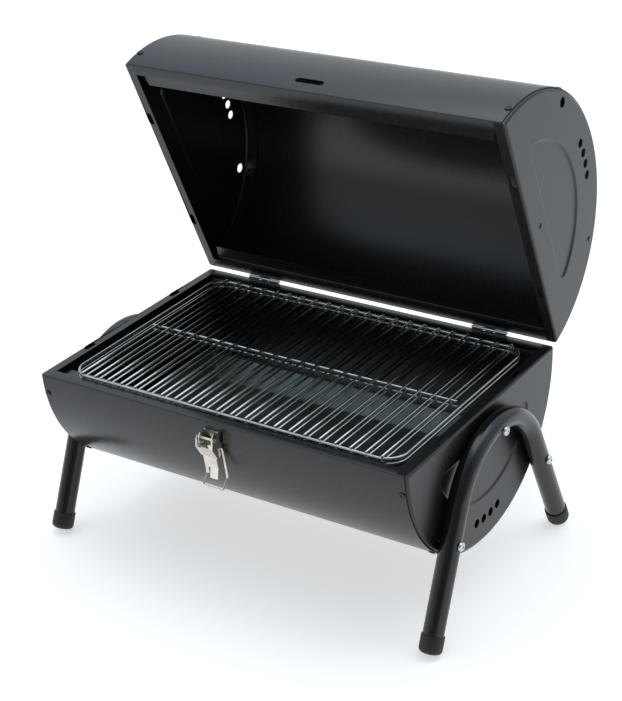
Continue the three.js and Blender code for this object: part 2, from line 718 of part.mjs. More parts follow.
const GRID_HEIGHT = GRID_FRAME_WIRE - GRID_WELD + GRID_ROD_WIRE;
const LOWER_GRID_Z = -LEDGE_DROP + GAP;
const UPPER_GRID_Z = LOWER_GRID_Z + GRID_HEIGHT + GAP;

// ---- Charcoal tray: a pan that hangs by its flange on the curve of the bowl ----

function taperedBox(topX, topY, bottomX, bottomY, z0, z1) {
  const geometry = new THREE.BoxGeometry(1, 1, z1 - z0).translate(0, 0, (z0 + z1) / 2);
  const position = geometry.attributes.position;
  for (let i = 0; i < position.count; i++) {
    const high = position.getZ(i) > (z0 + z1) / 2;
    position.setX(i, position.getX(i) * (high ? topX : bottomX));
    position.setY(i, position.getY(i) * (high ? topY : bottomY));
  }
  return solidOf(geometry);
}

const TRAY_LENGTH = BARREL_LENGTH - TRAY_PLAY;
const TRAY_SEAT = CAP_RADIUS - TRAY_RISE;
const TRAY_DEPTH = 2 * Math.sqrt(CAP_RADIUS ** 2 - TRAY_SEAT ** 2);

function charcoalTray() {
  const seat = -TRAY_SEAT;
  const top = seat + TRAY_SHEET;
  const mouthX = TRAY_LENGTH - 2 * TRAY_FLANGE;
  const mouthY = TRAY_DEPTH - 2 * TRAY_FLANGE;
  const run = 2 * TRAY_WALL_RUN;
  const wall = 2 * TRAY_SHEET;
  const outside = taperedBox(mouthX, mouthY, mouthX - run, mouthY - run, top - TRAY_DROP, top);
  const flange = box(-TRAY_LENGTH / 2, TRAY_LENGTH / 2, -TRAY_DEPTH / 2, TRAY_DEPTH / 2, seat, top);
  const hollow = taperedBox(
    mouthX - wall,
    mouthY - wall,
    mouthX - run - wall,
    mouthY - run - wall,
    top - TRAY_DROP + TRAY_SHEET,
    top + TRAY_SHEET,
  );
  return cut(join(outside, flange), hollow);
}

// ---- Assembly ----

function addMesh(parent, name, shape, material) {
  const geometry = shape.isBufferGeometry ? shape : geometryOf(shape);
  const mesh = new THREE.Mesh(geometry, material);
  mesh.name = name;
  parent.add(mesh);
  return mesh;
}

// The two ends of a half barrel in its own frame; the lid's frame is turned over, so its ends change places.
const BOWL_ENDS = { left: -1, right: 1 };
const LID_ENDS = { left: 1, right: -1 };

function addShellScrews(half, prefix, ends, overhang) {
  const screw = panHeadScrew(SHELL_SCREW_RADIUS, SHELL_SCREW_HEAD, 7);
  for (const [end, sign] of Object.entries(ends)) {
    for (const [place, angle] of [["rear", SHELL_SCREW_ANGLES[0]], ["front", SHELL_SCREW_ANGLES[1]]]) {
      const placed = spoke(screw, angle, BARREL_RADIUS + GAP, sign * (SHELL_SCREW_X + overhang));
      addMesh(half, `${prefix}_screw_${place}_${end}`, placed, zinc);
    }
  }
}

function addEndCaps(half, prefix, ends, overhang, holes) {
  const cap = geometryOf(endCap(holes));
  for (const [end, sign] of Object.entries(ends)) {
    const placed = addMesh(half, `${prefix}_end_cap_${end}`, cap, blackPaint);
    placed.rotation.z = sign > 0 ? 0 : Math.PI;
    placed.position.x = sign * overhang;
  }
}

function addHingeLeaves(half, prefix, ends, knuckles, withStop) {
  const leaf = geometryOf(hingeLeaf(knuckles, withStop));
  const leafRivet = rivet(LEAF_THICKNESS + SHEET + 3 * GAP);
  const seat = BARREL_RADIUS + LEAF_THICKNESS + 2 * GAP;
  for (const [end, sign] of Object.entries(ends)) {
    const x = (sign * HINGE_SPREAD) / 2;
    addMesh(half, `hinge_leaf_${prefix}_${end}`, leaf, zinc).position.x = x;
    for (const [number, side] of [[1, -1], [2, 1]]) {
      const place = x + (side * LEAF_RIVET_SPREAD) / 2;
      const placed = spoke(leafRivet, LEAF_RIVET_ANGLE, seat, place);
      addMesh(half, `hinge_rivet_${prefix}_${end}_${number}`, placed, zinc);
    }
  }
}

const hingeRivetHoles = () =>
  [-1, 1].flatMap((end) =>
    [-1, 1].map((side) => {
      const x = (end * HINGE_SPREAD + side * LEAF_RIVET_SPREAD) / 2;
      return spokeHole(RIVET_RADIUS + HOLE_CLEARANCE, LEAF_RIVET_ANGLE, x, 10);
    }),
  );

function addBowl(grill) {
  const rivetHoles = LATCH_RIVET_DROPS.map((drop) =>
    spokeHole(RIVET_RADIUS + HOLE_CLEARANCE, frontAngle(drop), 0, 10),
  );
  addMesh(grill, "bowl_shell", cut(halfShell(0), ...rivetHoles, ...hingeRivetHoles()), blackPaint);
  addEndCaps(grill, "bowl", BOWL_ENDS, 0, legScrewHoles());
  addShellScrews(grill, "bowl", BOWL_ENDS, 0);
  addHingeLeaves(grill, "bowl", BOWL_ENDS, [0, 2], false);
  const pin = geometryOf(hingePin());
  for (const [end, sign] of Object.entries(BOWL_ENDS)) {
    addMesh(grill, `hinge_pin_${end}`, pin, zinc).position.x = (sign * HINGE_SPREAD) / 2;
  }
}

function addLegs(grill) {
  const frame = legFrame();
  const foot = footCap();
  const screwReach = 2 * TUBE_RADIUS + SHEET + LEG_NUT_HEIGHT + 6;
  const screw = panHeadScrew(LEG_SCREW_RADIUS, LEG_SCREW_HEAD, screwReach, 12).rotateZ(-Math.PI / 2);
  const nut = geometryOf(legNut());
  for (const [end, turn, sign] of [["right", 0, 1], ["left", Math.PI, -1]]) {
    const side = new THREE.Group();
    side.rotation.z = turn;
    grill.add(side);
    addMesh(side, `leg_frame_${end}`, frame, blackPaint).position.x = TUBE_X;
    for (const [place, y] of [["front", -sign], ["rear", sign]]) {
      const leg = addMesh(side, `foot_cap_${place}_${end}`, foot, footPlastic);
      leg.position.set(TUBE_X, y * footEnd.y, footEnd.z);
      leg.rotation.x = Math.PI / 2 + y * flare;
    }
    for (const [place, { y, z }] of Object.entries(LEG_SCREWS)) {
      const fixing = addMesh(side, `leg_screw_${place}_${end}`, screw, zinc);
      fixing.position.set(TUBE_X + TUBE_RADIUS + GAP, sign * y, z);
      addMesh(side, `leg_nut_${place}_${end}`, nut, zinc).position.set(0, sign * y, z);
    }
  }
}

function addLatch(grill) {
  addMesh(grill, "latch_bracket", latchBracket(), nickel);
  addMesh(grill, "latch_lever", latchLever(), nickel);
  addMesh(grill, "latch_pin", latchPin(), nickel);
  addMesh(grill, "latch_loop", latchLoop(), nickel);
  const latchRivet = rivet(LATCH_SHEET + SHEET + 3 * GAP);
  for (const [place, drop] of [["upper", LATCH_RIVET_DROPS[0]], ["lower", LATCH_RIVET_DROPS[1]]]) {
    const seat = BARREL_RADIUS + LATCH_SHEET + 2 * GAP;
    addMesh(grill, `latch_rivet_${place}`, spoke(latchRivet, frontAngle(drop), seat, 0), zinc);
  }
}

function addLid(grill) {
  const swing = new THREE.Group();
  swing.position.set(0, HINGE_AXIS.y, HINGE_AXIS.z);
  swing.rotation.x = -radians(LID_OPEN);
  grill.add(swing);
  const lid = new THREE.Group();
  lid.position.set(0, -HINGE_AXIS.y, LID_GAP - HINGE_AXIS.z);
  lid.rotation.y = Math.PI;
  swing.add(lid);
  const slotShape = stadium(LATCH_SLOT_LENGTH, LATCH_SLOT_WIDTH);
  const slot = new THREE.ExtrudeGeometry(slotShape, { depth: 12, bevelEnabled: false, curveSegments: 5 });
  slot.rotateX(-Math.PI / 2);
  const slotCut = solidOf(spoke(slot, frontAngle(LATCH_SLOT_RISE), BARREL_RADIUS - 6, 0));
  const shell = cut(halfShell(LID_OVERHANG), slotCut, ...hingeRivetHoles());
  addMesh(lid, "lid_shell", shell, blackPaint);
  addEndCaps(lid, "lid", LID_ENDS, LID_OVERHANG, [lidCapHole]);
  addShellScrews(lid, "lid", LID_ENDS, LID_OVERHANG);
  addHingeLeaves(lid, "lid", LID_ENDS, [1], true);
}

function addInside(grill) {
  const grid = geometryOf(wireGrid());
  addMesh(grill, "cooking_grid", grid, chrome).position.set(GRID_SHIFT.x, GRID_SHIFT.y, UPPER_GRID_Z);
  addMesh(grill, "lower_grid", grid, chrome).position.set(GRID_SHIFT.x, GRID_SHIFT.y, LOWER_GRID_Z);
  addMesh(grill, "charcoal_tray", charcoalTray(), galvanised);
}

const grill = new THREE.Group();
addBowl(grill);
addLegs(grill);
addLatch(grill);
addInside(grill);
addLid(grill);

// Stand the grill on the floor, with the origin at the bottom centre of its box.
const bounds = new THREE.Box3().setFromObject(grill, true);
const centre = bounds.getCenter(new THREE.Vector3());
grill.position.set(-centre.x, -centre.y, -bounds.min.z);

const standing = new THREE.Group();
standing.add(grill);

export default standing;
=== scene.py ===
"""Table-top barrel charcoal grill: finished sheet-metal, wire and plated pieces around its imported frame.

Lengths are in metres. Half-barrel pieces are modelled with the open side up and the barrel's axis on X,
and a matrix then puts them in the bowl or, turned over and swung open, in the lid.
"""

import json
import math

import bmesh
import bpy
from bpy.props import FloatProperty, FloatVectorProperty, IntProperty, PointerProperty
from mathutils import Matrix, Vector


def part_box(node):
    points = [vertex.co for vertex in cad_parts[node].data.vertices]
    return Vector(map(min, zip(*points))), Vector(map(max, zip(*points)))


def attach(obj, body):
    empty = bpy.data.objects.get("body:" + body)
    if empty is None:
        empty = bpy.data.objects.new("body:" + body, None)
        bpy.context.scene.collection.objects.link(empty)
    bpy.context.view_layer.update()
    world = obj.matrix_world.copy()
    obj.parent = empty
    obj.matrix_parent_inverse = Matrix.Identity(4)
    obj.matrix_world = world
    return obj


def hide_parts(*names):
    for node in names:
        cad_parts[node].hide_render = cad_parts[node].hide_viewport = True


bl_info = {
    "name": "Barrel Charcoal Grill",
    "version": (1, 0, 0),
    "blender": (4, 5, 0),
    "location": "View3D > Sidebar > Grill",
    "description": "Builds the finished pieces of a table-top barrel charcoal grill",
    "category": "Object",
}

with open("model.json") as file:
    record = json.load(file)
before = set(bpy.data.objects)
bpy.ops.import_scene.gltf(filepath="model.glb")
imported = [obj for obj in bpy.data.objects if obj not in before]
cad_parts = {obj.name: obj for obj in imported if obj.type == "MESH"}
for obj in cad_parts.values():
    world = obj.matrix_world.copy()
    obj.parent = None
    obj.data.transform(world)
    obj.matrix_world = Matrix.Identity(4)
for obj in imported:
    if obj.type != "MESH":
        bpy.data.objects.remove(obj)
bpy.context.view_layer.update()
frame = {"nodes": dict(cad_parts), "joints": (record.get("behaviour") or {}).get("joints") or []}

# ---- Places taken from the frame ----

SHELL_LOW, SHELL_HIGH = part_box("bowl_shell")
RADIUS = (SHELL_HIGH.y - SHELL_LOW.y) / 2
SHELL_END = SHELL_HIGH.x
CAP_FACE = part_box("bowl_end_cap_right")[1].x
BOWL = Matrix.Translation((0, (SHELL_HIGH.y + SHELL_LOW.y) / 2, SHELL_HIGH.z))
HINGE = Vector(next(j for j in frame["joints"] if j["name"] == "lid_hinge")["pos_m"])
LID_OPEN = math.radians(68.2)
LID_GAP = 0.0022  # between the rims when shut
LID = (
    Matrix.Translation(HINGE)
    @ Matrix.Rotation(-LID_OPEN, 4, "X")
    @ Matrix.Translation(-HINGE)
    @ BOWL
    @ Matrix.Translation((0, 0, LID_GAP))
    @ Matrix.Rotation(math.pi, 4, "Y")
)
LID_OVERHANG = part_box("lid_shell")[1].x - SHELL_END
HALVES = {"bowl": (BOWL, "base", 0.0), "lid": (LID, "lid", LID_OVERHANG)}
ENDS = (("left", -1), ("right", 1))
GAP = 0.0003
SHEET = 0.001
CAP_WALL = 0.012  # a cap's wall along the rim


# ---- Settings ----


def length(name, description, default):
    return FloatProperty(
        name=name, description=description, default=default, min=0, unit="LENGTH", subtype="DISTANCE"
    )


def colour(name, description, default):
    return FloatVectorProperty(
        name=name, description=description, default=default, size=3, min=0, max=1, subtype="COLOR"
    )


class GrillShape(bpy.types.PropertyGroup):
    facets: IntProperty(name="Facets", description="Steps round half the barrel", default=96, min=24)
    flange: length("Rim flange", "Rim turned in along front and rear", 0.013)
    ledge_drop: length("Ledge drop", "Step down from the rim to the grid ledge", 0.005)
    ledge_width: length("Ledge width", "Width of the ledge that carries the grids", 0.017)
    ledge_length: length("Ledge length", "Length of the ledge along the barrel", 0.424)
    cap_depth: length("Cap depth", "Reach of an end cap's wall into the shell", 0.017)
    cap_bend: length("Cap bend", "Radius of the bend round an end cap", 0.003)
    panel_radius: length("Panel radius", "Radius of the panel pressed into an end cap", 0.1005)
    panel_top: length("Panel top", "Distance of the panel's straight side below the rim", 0.031)
    panel_corner: length("Panel corner", "Radius of the panel's corners", 0.010)
    step_width: length("Panel step", "Width of the slope round the panel", 0.0036)
    panel_depth: length("Panel depth", "Depth of the pressed panel", 0.0017)
    vent: length("Vent radius", "Radius of the round vents in an end cap", 0.0048)
    tube: length("Tube radius", "Radius of a leg tube", 0.0108)
    arch: length("Arch radius", "Bend radius of a leg frame", 0.084)
    frame_wire: length("Frame wire", "Diameter of a grid's outer wire", 0.0032)
    rod_wire: length("Rod wire", "Diameter of a grid's rods", 0.0025)
    rods: IntProperty(name="Rods", description="Rods in a grid", default=22, min=2)


class GrillFinish(bpy.types.PropertyGroup):
    paint: colour("Paint", "Heat-proof black paint", (0.0055, 0.0055, 0.006))
    chrome: colour("Chrome", "Plating of the grid wires", (0.46, 0.47, 0.465))
    nickel: colour("Nickel", "Plating of the latch", (0.70, 0.67, 0.61))
    zinc: colour("Zinc", "Plating of screws, rivets and hinges", (0.60, 0.61, 0.62))
    galvanised: colour("Galvanised sheet", "Zinc-dipped sheet of the tray", (0.15, 0.172, 0.16))
    plastic: colour("Plastic", "Moulded plastic of the feet", (0.008, 0.008, 0.0075))
    floor: colour("Floor", "Studio floor", (0.65, 0.65, 0.65))


def shape():
    return bpy.context.scene.grill_shape


def finishes():
    return bpy.context.scene.grill_finish


# ---- Modelling helpers ----


def only(geom, kind):
    return [g for g in geom if isinstance(g, kind)]


def arc(bm, vertex, centre, angle, steps, axis=(1, 0, 0)):
    """Carries a chain of edges on from vertex round centre, and returns the chain's last vertex."""
    spun = bmesh.ops.spin(bm, geom=[vertex], cent=centre, axis=axis, angle=angle, steps=steps, dvec=(0, 0, 0))
    return only(spun["geom_last"], bmesh.types.BMVert)[0]


def line(bm, vertex, place):
    """Carries a chain of edges on from vertex to place, and returns the new vertex."""
    end = bm.verts.new(place)
    bm.edges.new((vertex, end))
    return end


def sweep(bm, edges, move):
    """Sweeps edges along a vector into faces, and returns the edges at the far end."""
    swept = bmesh.ops.extrude_edge_only(bm, edges=edges)["geom"]
    bmesh.ops.translate(bm, vec=move, verts=only(swept, bmesh.types.BMVert))
    return only(swept, bmesh.types.BMEdge)


def merge(bm, distance=1e-6):
    bmesh.ops.remove_doubles(bm, verts=bm.verts, dist=distance)


def face_out(bm):
    bmesh.ops.recalc_face_normals(bm, faces=bm.faces)


def soften(bm, edges, radius, segments=3):
    bmesh.ops.bevel(
        bm,
        geom=edges,
        offset=radius,
        offset_type="OFFSET",
        segments=segments,
        profile=0.5,
        affect="EDGES",
        clamp_overlap=True,
        material=-1,
    )


def inner_edges(bm, test):
    """The edges between two faces whose two vertices both pass a test."""
    return [e for e in bm.edges if len(e.link_faces) == 2 and all(test(v.co) for v in e.verts)]


def edges_of(verts):
    """The edges on some vertices, each once and in a fixed order."""
    return list(dict.fromkeys(e for v in verts for e in v.link_edges))


def lathe(bm, profile, steps=40):
    """Turns a chain of (radius, height) points about Z into a closed solid."""
    verts = [bm.verts.new((radius, 0, height)) for radius, height in profile]
    edges = [bm.edges.new(pair) for pair in zip(verts, verts[1:])]
    bmesh.ops.spin(
        bm,
        geom=verts + edges,
        cent=(0, 0, 0),
        axis=(0, 0, 1),
        angle=2 * math.pi,
        steps=steps,
        use_merge=True,
        dvec=(0, 0, 0),
    )
    merge(bm, 1e-7)
    face_out(bm)


def rod(bm, start, end, radius, sides=16):
    """A closed round rod between two points."""
    start, end = Vector(start), Vector(end)
    turn = (end - start).to_track_quat("Z", "Y").to_matrix().to_4x4()
    made = bmesh.ops.create_cone(
        bm,
        cap_ends=True,
        segments=sides,
        radius1=radius,
        radius2=radius,
        depth=(end - start).length,
        matrix=Matrix.Translation((start + end) / 2) @ turn,
    )
    return made["verts"]


class Pipe:
    """A round section carried along straight runs and bends."""

    def __init__(self, bm, start, direction, radius, sides=16):
        turn = Vector(direction).to_track_quat("Z", "Y").to_matrix().to_4x4()
        ring = bmesh.ops.create_circle(
            bm, cap_ends=False, segments=sides, radius=radius, matrix=Matrix.Translation(start) @ turn
        )
        self.bm = bm
        self.first = edges_of(ring["verts"])
        self.last = self.first

    def go(self, move):
        self.last = sweep(self.bm, self.last, Vector(move))
        return self

    def turn(self, centre, axis, angle, steps=8):
        verts = list(dict.fromkeys(v for e in self.last for v in e.verts))
        spun = bmesh.ops.spin(
            self.bm,
            geom=verts + self.last,
            cent=centre,
            axis=axis,
            angle=angle,
            steps=steps,
            dvec=(0, 0, 0),
        )
        self.last = only(spun["geom_last"], bmesh.types.BMEdge)
        return self

    def close(self):
        for ring in (self.first, self.last):
            bmesh.ops.contextual_create(self.bm, geom=ring)
        merge(self.bm)
        face_out(self.bm)


def box_cut(low, high):
    """A cutter block as a new bmesh."""
    bm = bmesh.new()
    low, high = Vector(low), Vector(high)
    place = Matrix.Translation((low + high) / 2) @ Matrix.Diagonal((*(high - low), 1))
    bmesh.ops.create_cube(bm, size=1, matrix=place)
    return bm


def new_object(name, bm):
    mesh = bpy.data.meshes.new(name)
    bm.to_mesh(mesh)
    bm.free()
    piece = bpy.data.objects.new(name, mesh)
    bpy.context.scene.collection.objects.link(piece)
    return piece


def settle(piece):
    """Applies a piece's modifiers to its mesh."""
    graph = bpy.context.evaluated_depsgraph_get()
    mesh = bpy.data.meshes.new_from_object(piece.evaluated_get(graph))
    old = piece.data
    piece.modifiers.clear()
    piece.data = mesh
    bpy.data.meshes.remove(old)


def wall(piece, thickness, offset=-1.0):
    """Gives an open skin its thickness."""
    solidify = piece.modifiers.new("Wall", "SOLIDIFY")
    solidify.thickness = thickness
    solidify.offset = offset
    solidify.use_even_offset = True
    settle(piece)


def carve(piece, *cutters):
    """Cuts bmesh solids out of a piece."""
    for number, cutter in enumerate(cutters):
        tool = new_object(f"{piece.name}_cutter_{number}", cutter)
        cut = piece.modifiers.new("Cut", "BOOLEAN")
        cut.operation = "DIFFERENCE"
        cut.solver = "EXACT"
        cut.object = tool
        settle(piece)
        bpy.data.objects.remove(tool)


def copy_of(piece, name):
    twin = bpy.data.objects.new(name, piece.data.copy())
    bpy.context.scene.collection.objects.link(twin)
    return twin


def put(piece, body, place, material, replaces=(), sharp=35.0):
    """Moves a finished mesh to its place and joins it to the frame."""
    piece.data.transform(place)
    if place.determinant() < 0:
        piece.data.flip_normals()
    piece.data.polygons.foreach_set("use_smooth", [True] * len(piece.data.polygons))
    piece.data.set_sharp_from_angle(angle=math.radians(sharp))
    piece.data.materials.clear()
    piece.data.materials.append(material)
    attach(piece, body)
    if replaces:
        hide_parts(*replaces)
    return piece


# ---- Material helpers ----


def node(tree, kind, **settings):
    """Adds a node. Settings name its inputs, or its own properties."""
    made = tree.nodes.new(kind)
    for key, value in settings.items():
        if hasattr(made, key):
            setattr(made, key, value)
        else:
            made.inputs[key.replace("_", " ")].default_value = value
    return made


def link(tree, source, target):
    tree.links.new(source, target)


def effect(name, inputs, outputs):
    """A shader node group with float and vector sockets, and its two end nodes."""
    group = bpy.data.node_groups.new(name, "ShaderNodeTree")
    for label, kind, default in inputs:
        socket = group.interface.new_socket(label, in_out="INPUT", socket_type=kind)
        if default is not None:
            socket.default_value = default
    for label, kind in outputs:
        group.interface.new_socket(label, in_out="OUTPUT", socket_type=kind)
    return group, group.nodes.new("NodeGroupInput"), group.nodes.new("NodeGroupOutput")


def place_effect(tree, group, **inputs):
    made = tree.nodes.new("ShaderNodeGroup")
    made.node_tree = group
    for key, value in inputs.items():
        made.inputs[key.replace("_", " ")].default_value = value
    return made


def noise(tree, vector, scale, detail=3.0, roughness=0.5):
    made = node(tree, "ShaderNodeTexNoise", Scale=scale, Detail=detail, Roughness=roughness)
    link(tree, vector, made.inputs["Vector"])
    return made.outputs["Fac"]


def remap(tree, value, low, high, out_low, out_high):
    made = node(tree, "ShaderNodeMapRange")
    for socket, number in zip(("From Min", "From Max", "To Min", "To Max"), (low, high, out_low, out_high)):
        made.inputs[socket].default_value = number
    link(tree, value, made.inputs["Value"])
    return made.outputs["Result"]


def blend(tree, factor, first, second):
    """Mixes two colours, each a socket or a colour, by a factor socket."""
    made = tree.nodes.new("ShaderNodeMix")
    made.data_type = "RGBA"
    link(tree, factor, made.inputs["Factor"])
    for socket, value in (("A", first), ("B", second)):
        target = next(s for s in made.inputs if s.name == socket and s.type == "RGBA")
        if isinstance(value, bpy.types.NodeSocket):
            link(tree, value, target)
        else:
            target.default_value = value
    return next(s for s in made.outputs if s.type == "RGBA")


def maths(tree, operation, first, second):
    made = node(tree, "ShaderNodeMath", operation=operation)
    for socket, value in zip(made.inputs, (first, second)):
        if isinstance(value, bpy.types.NodeSocket):
            link(tree, value, socket)
        else:
            socket.default_value = value
    return made.outputs[0]


def tinted(base, factor):
    return (*(min(1.0, c * factor) for c in base), 1.0)


def coating_effect():
    """Sprayed paint: fine pebbled height, slow drift of gloss, and specks of dust."""
    group, start, end = effect(
        "Sprayed coating",
        (
            ("Vector", "NodeSocketVector", None),
            ("Pebble scale", "NodeSocketFloat", 900.0),
            ("Drift", "NodeSocketFloat", 0.06),
            ("Gloss", "NodeSocketFloat", 0.4),
        ),
        (("Height", "NodeSocketFloat"), ("Roughness", "NodeSocketFloat"), ("Shade", "NodeSocketFloat")),
    )
    pebble = node(group, "ShaderNodeTexNoise", Detail=2.0, Roughness=0.5)
    link(group, start.outputs["Vector"], pebble.inputs["Vector"])
    link(group, start.outputs["Pebble scale"], pebble.inputs["Scale"])
    slow = noise(group, start.outputs["Vector"], 14.0, 4.0)
    fine = noise(group, start.outputs["Vector"], 160.0, 2.0)
    wave = maths(group, "SUBTRACT", slow, 0.5)
    wander = maths(group, "MULTIPLY", wave, start.outputs["Drift"])
    rough = maths(group, "ADD", start.outputs["Gloss"], wander)
    grit = maths(group, "MULTIPLY", maths(group, "SUBTRACT", fine, 0.5), 0.04)
    link(group, maths(group, "ADD", rough, grit), end.inputs["Roughness"])
    link(group, pebble.outputs["Fac"], end.inputs["Height"])
    link(group, remap(group, slow, 0.3, 0.7, 0.0, 1.0), end.inputs["Shade"])
    return group


def plating_effect():
    """Plated metal: hairline scratches in one direction and clouded gloss."""
    group, start, end = effect(
        "Plating",
        (
            ("Vector", "NodeSocketVector", None),
            ("Along", "NodeSocketVector", None),
            ("Gloss", "NodeSocketFloat", 0.2),
            ("Cloud", "NodeSocketFloat", 0.08),
        ),
        (("Height", "NodeSocketFloat"), ("Roughness", "NodeSocketFloat"), ("Shade", "NodeSocketFloat")),
    )
    stretch = node(group, "ShaderNodeVectorMath", operation="MULTIPLY")
    link(group, start.outputs["Vector"], stretch.inputs[0])
    link(group, start.outputs["Along"], stretch.inputs[1])
    lines = noise(group, stretch.outputs["Vector"], 1.0, 3.0)
    cloud = noise(group, start.outputs["Vector"], 60.0, 4.0)
    patch = noise(group, start.outputs["Vector"], 400.0, 2.0)
    wave = maths(group, "MULTIPLY", maths(group, "SUBTRACT", cloud, 0.5), start.outputs["Cloud"])
    rough = maths(group, "ADD", start.outputs["Gloss"], wave)
    link(group, maths(group, "MAXIMUM", rough, 0.04), end.inputs["Roughness"])
    link(group, lines, end.inputs["Height"])
    shade = maths(group, "ADD", maths(group, "MULTIPLY", cloud, 0.7), maths(group, "MULTIPLY", patch, 0.3))
    link(group, remap(group, shade, 0.35, 0.65, 0.0, 1.0), end.inputs["Shade"])
    return group


def principled(name):
    """A new material: its tree, shader, Object coordinates and a bump that feeds the normal."""
    material = bpy.data.materials.new(name)
    material.use_nodes = True
    tree = material.node_tree
    shader = next(n for n in tree.nodes if n.type == "BSDF_PRINCIPLED")
    coordinates = tree.nodes.new("ShaderNodeTexCoord")
    bump = tree.nodes.new("ShaderNodeBump")
    link(tree, bump.outputs["Normal"], shader.inputs["Normal"])
    return material, tree, shader, coordinates.outputs["Object"], bump


def paint(name, base, gloss, coating, pebble=0.05, drift=0.06, sheen=1.25):
    """Heat-proof paint on sheet or tube."""
    material, tree, shader, place, bump = principled(name)
    spray = place_effect(tree, coating, Gloss=gloss, Drift=drift)
    link(tree, place, spray.inputs["Vector"])
    tone = blend(tree, spray.outputs["Shade"], tinted(base, 0.9), tinted(base, sheen))
    link(tree, tone, shader.inputs["Base Color"])
    link(tree, spray.outputs["Roughness"], shader.inputs["Roughness"])
    link(tree, spray.outputs["Height"], bump.inputs["Height"])
    bump.inputs["Strength"].default_value = pebble
    bump.inputs["Distance"].default_value = 0.0003
    return material


def plated(name, base, gloss, plating, along=(900, 900, 90), cloud=0.08, hairline=0.04, warmth=1.0):
    """Bright metal plating."""
    material, tree, shader, place, bump = principled(name)
    shader.inputs["Metallic"].default_value = 1.0
    skin = place_effect(tree, plating, Gloss=gloss, Cloud=cloud, Along=along)
    link(tree, place, skin.inputs["Vector"])
    dull = (base[0] * 0.82 * warmth, base[1] * 0.8, base[2] * 0.78 / warmth)
    tone = blend(tree, skin.outputs["Shade"], tinted(dull, 1.0), tinted(base, 1.06))
    link(tree, tone, shader.inputs["Base Color"])
    link(tree, skin.outputs["Roughness"], shader.inputs["Roughness"])
    link(tree, skin.outputs["Height"], bump.inputs["Height"])
    bump.inputs["Strength"].default_value = hairline
    bump.inputs["Distance"].default_value = 0.0002
    return material


def spangled(name, base, plating):
    """Zinc-dipped sheet with its crystal pattern."""
    material, tree, shader, place, bump = principled(name)
    shader.inputs["Metallic"].default_value = 0.7
    warp = node(tree, "ShaderNodeTexNoise", Scale=35.0, Detail=2.0)
    link(tree, place, warp.inputs["Vector"])
    bend = node(tree, "ShaderNodeVectorMath", operation="MULTIPLY_ADD")
    link(tree, warp.outputs["Color"], bend.inputs[0])
    bend.inputs[1].default_value = (0.02, 0.02, 0.02)
    link(tree, place, bend.inputs[2])
    crystal = node(tree, "ShaderNodeTexVoronoi", Scale=85.0)
    link(tree, bend.outputs["Vector"], crystal.inputs["Vector"])
    cell = node(tree, "ShaderNodeSeparateColor")
    link(tree, crystal.outputs["Color"], cell.inputs["Color"])
    skin = place_effect(tree, plating, Gloss=0.36, Cloud=0.1, Along=(300, 300, 300))
    link(tree, place, skin.inputs["Vector"])
    tone = blend(tree, cell.outputs["Red"], tinted(base, 0.82), tinted(base, 1.2))
    link(tree, tone, shader.inputs["Base Color"])
    facet_gloss = maths(tree, "MULTIPLY", cell.outputs["Green"], 0.14)
    link(tree, maths(tree, "ADD", skin.outputs["Roughness"], facet_gloss), shader.inputs["Roughness"])
    link(tree, cell.outputs["Blue"], bump.inputs["Height"])
    bump.inputs["Strength"].default_value = 0.06
    bump.inputs["Distance"].default_value = 0.0003
    return material


def moulded(name, base, coating):
    """Matt moulded plastic with a fine spark texture."""
    material, tree, shader, place, bump = principled(name)
    spark = place_effect(tree, coating, Gloss=0.55, Drift=0.1, Pebble_scale=1600.0)
    link(tree, place, spark.inputs["Vector"])
    tone = blend(tree, spark.outputs["Shade"], tinted(base, 0.85), tinted(base, 1.3))
    link(tree, tone, shader.inputs["Base Color"])
    link(tree, spark.outputs["Roughness"], shader.inputs["Roughness"])
    link(tree, spark.outputs["Height"], bump.inputs["Height"])
    bump.inputs["Strength"].default_value = 0.25
    bump.inputs["Distance"].default_value = 0.0003
    return material


MATERIALS = {}


class GRILL_OT_materials(bpy.types.Operator):
    """Make the grill's paints, platings and plastic"""

    bl_idname = "grill.materials"
    bl_label = "Materials"

    def execute(self, context):
        finish = finishes()
        coating = coating_effect()
        plating = plating_effect()
        MATERIALS["shell"] = paint("Satin black shell", finish.paint, 0.27, coating)
        MATERIALS["cap"] = paint("Satin black cap", finish.paint, 0.32, coating, pebble=0.08)
        MATERIALS["tube"] = paint("Satin black tube", finish.paint, 0.2, coating)
        MATERIALS["chrome"] = plated("Chrome wire", finish.chrome, 0.13, plating)
        MATERIALS["nickel"] = plated("Nickel plate", finish.nickel, 0.2, plating, warmth=1.04)
        MATERIALS["zinc"] = plated("Zinc plate", finish.zinc, 0.32, plating, cloud=0.14)
        MATERIALS["tray"] = spangled("Galvanised tray", finish.galvanised, plating)
        MATERIALS["screw"] = plated("Black oxide", (0.05, 0.05, 0.05), 0.4, plating)
        MATERIALS["foot"] = moulded("Foot plastic", finish.plastic, coating)
        return {"FINISHED"}


# ---- Shells ----

RIM_BEND = 0.0005
LEDGE_BEND = 0.0012
LEDGE_TAPER = 0.004  # how far a ledge's inner corners are cut back
LATCH_SLOT = (0.034, 0.0075)  # length and height
LATCH_SLOT_RISE = 0.017  # from the lid's rim


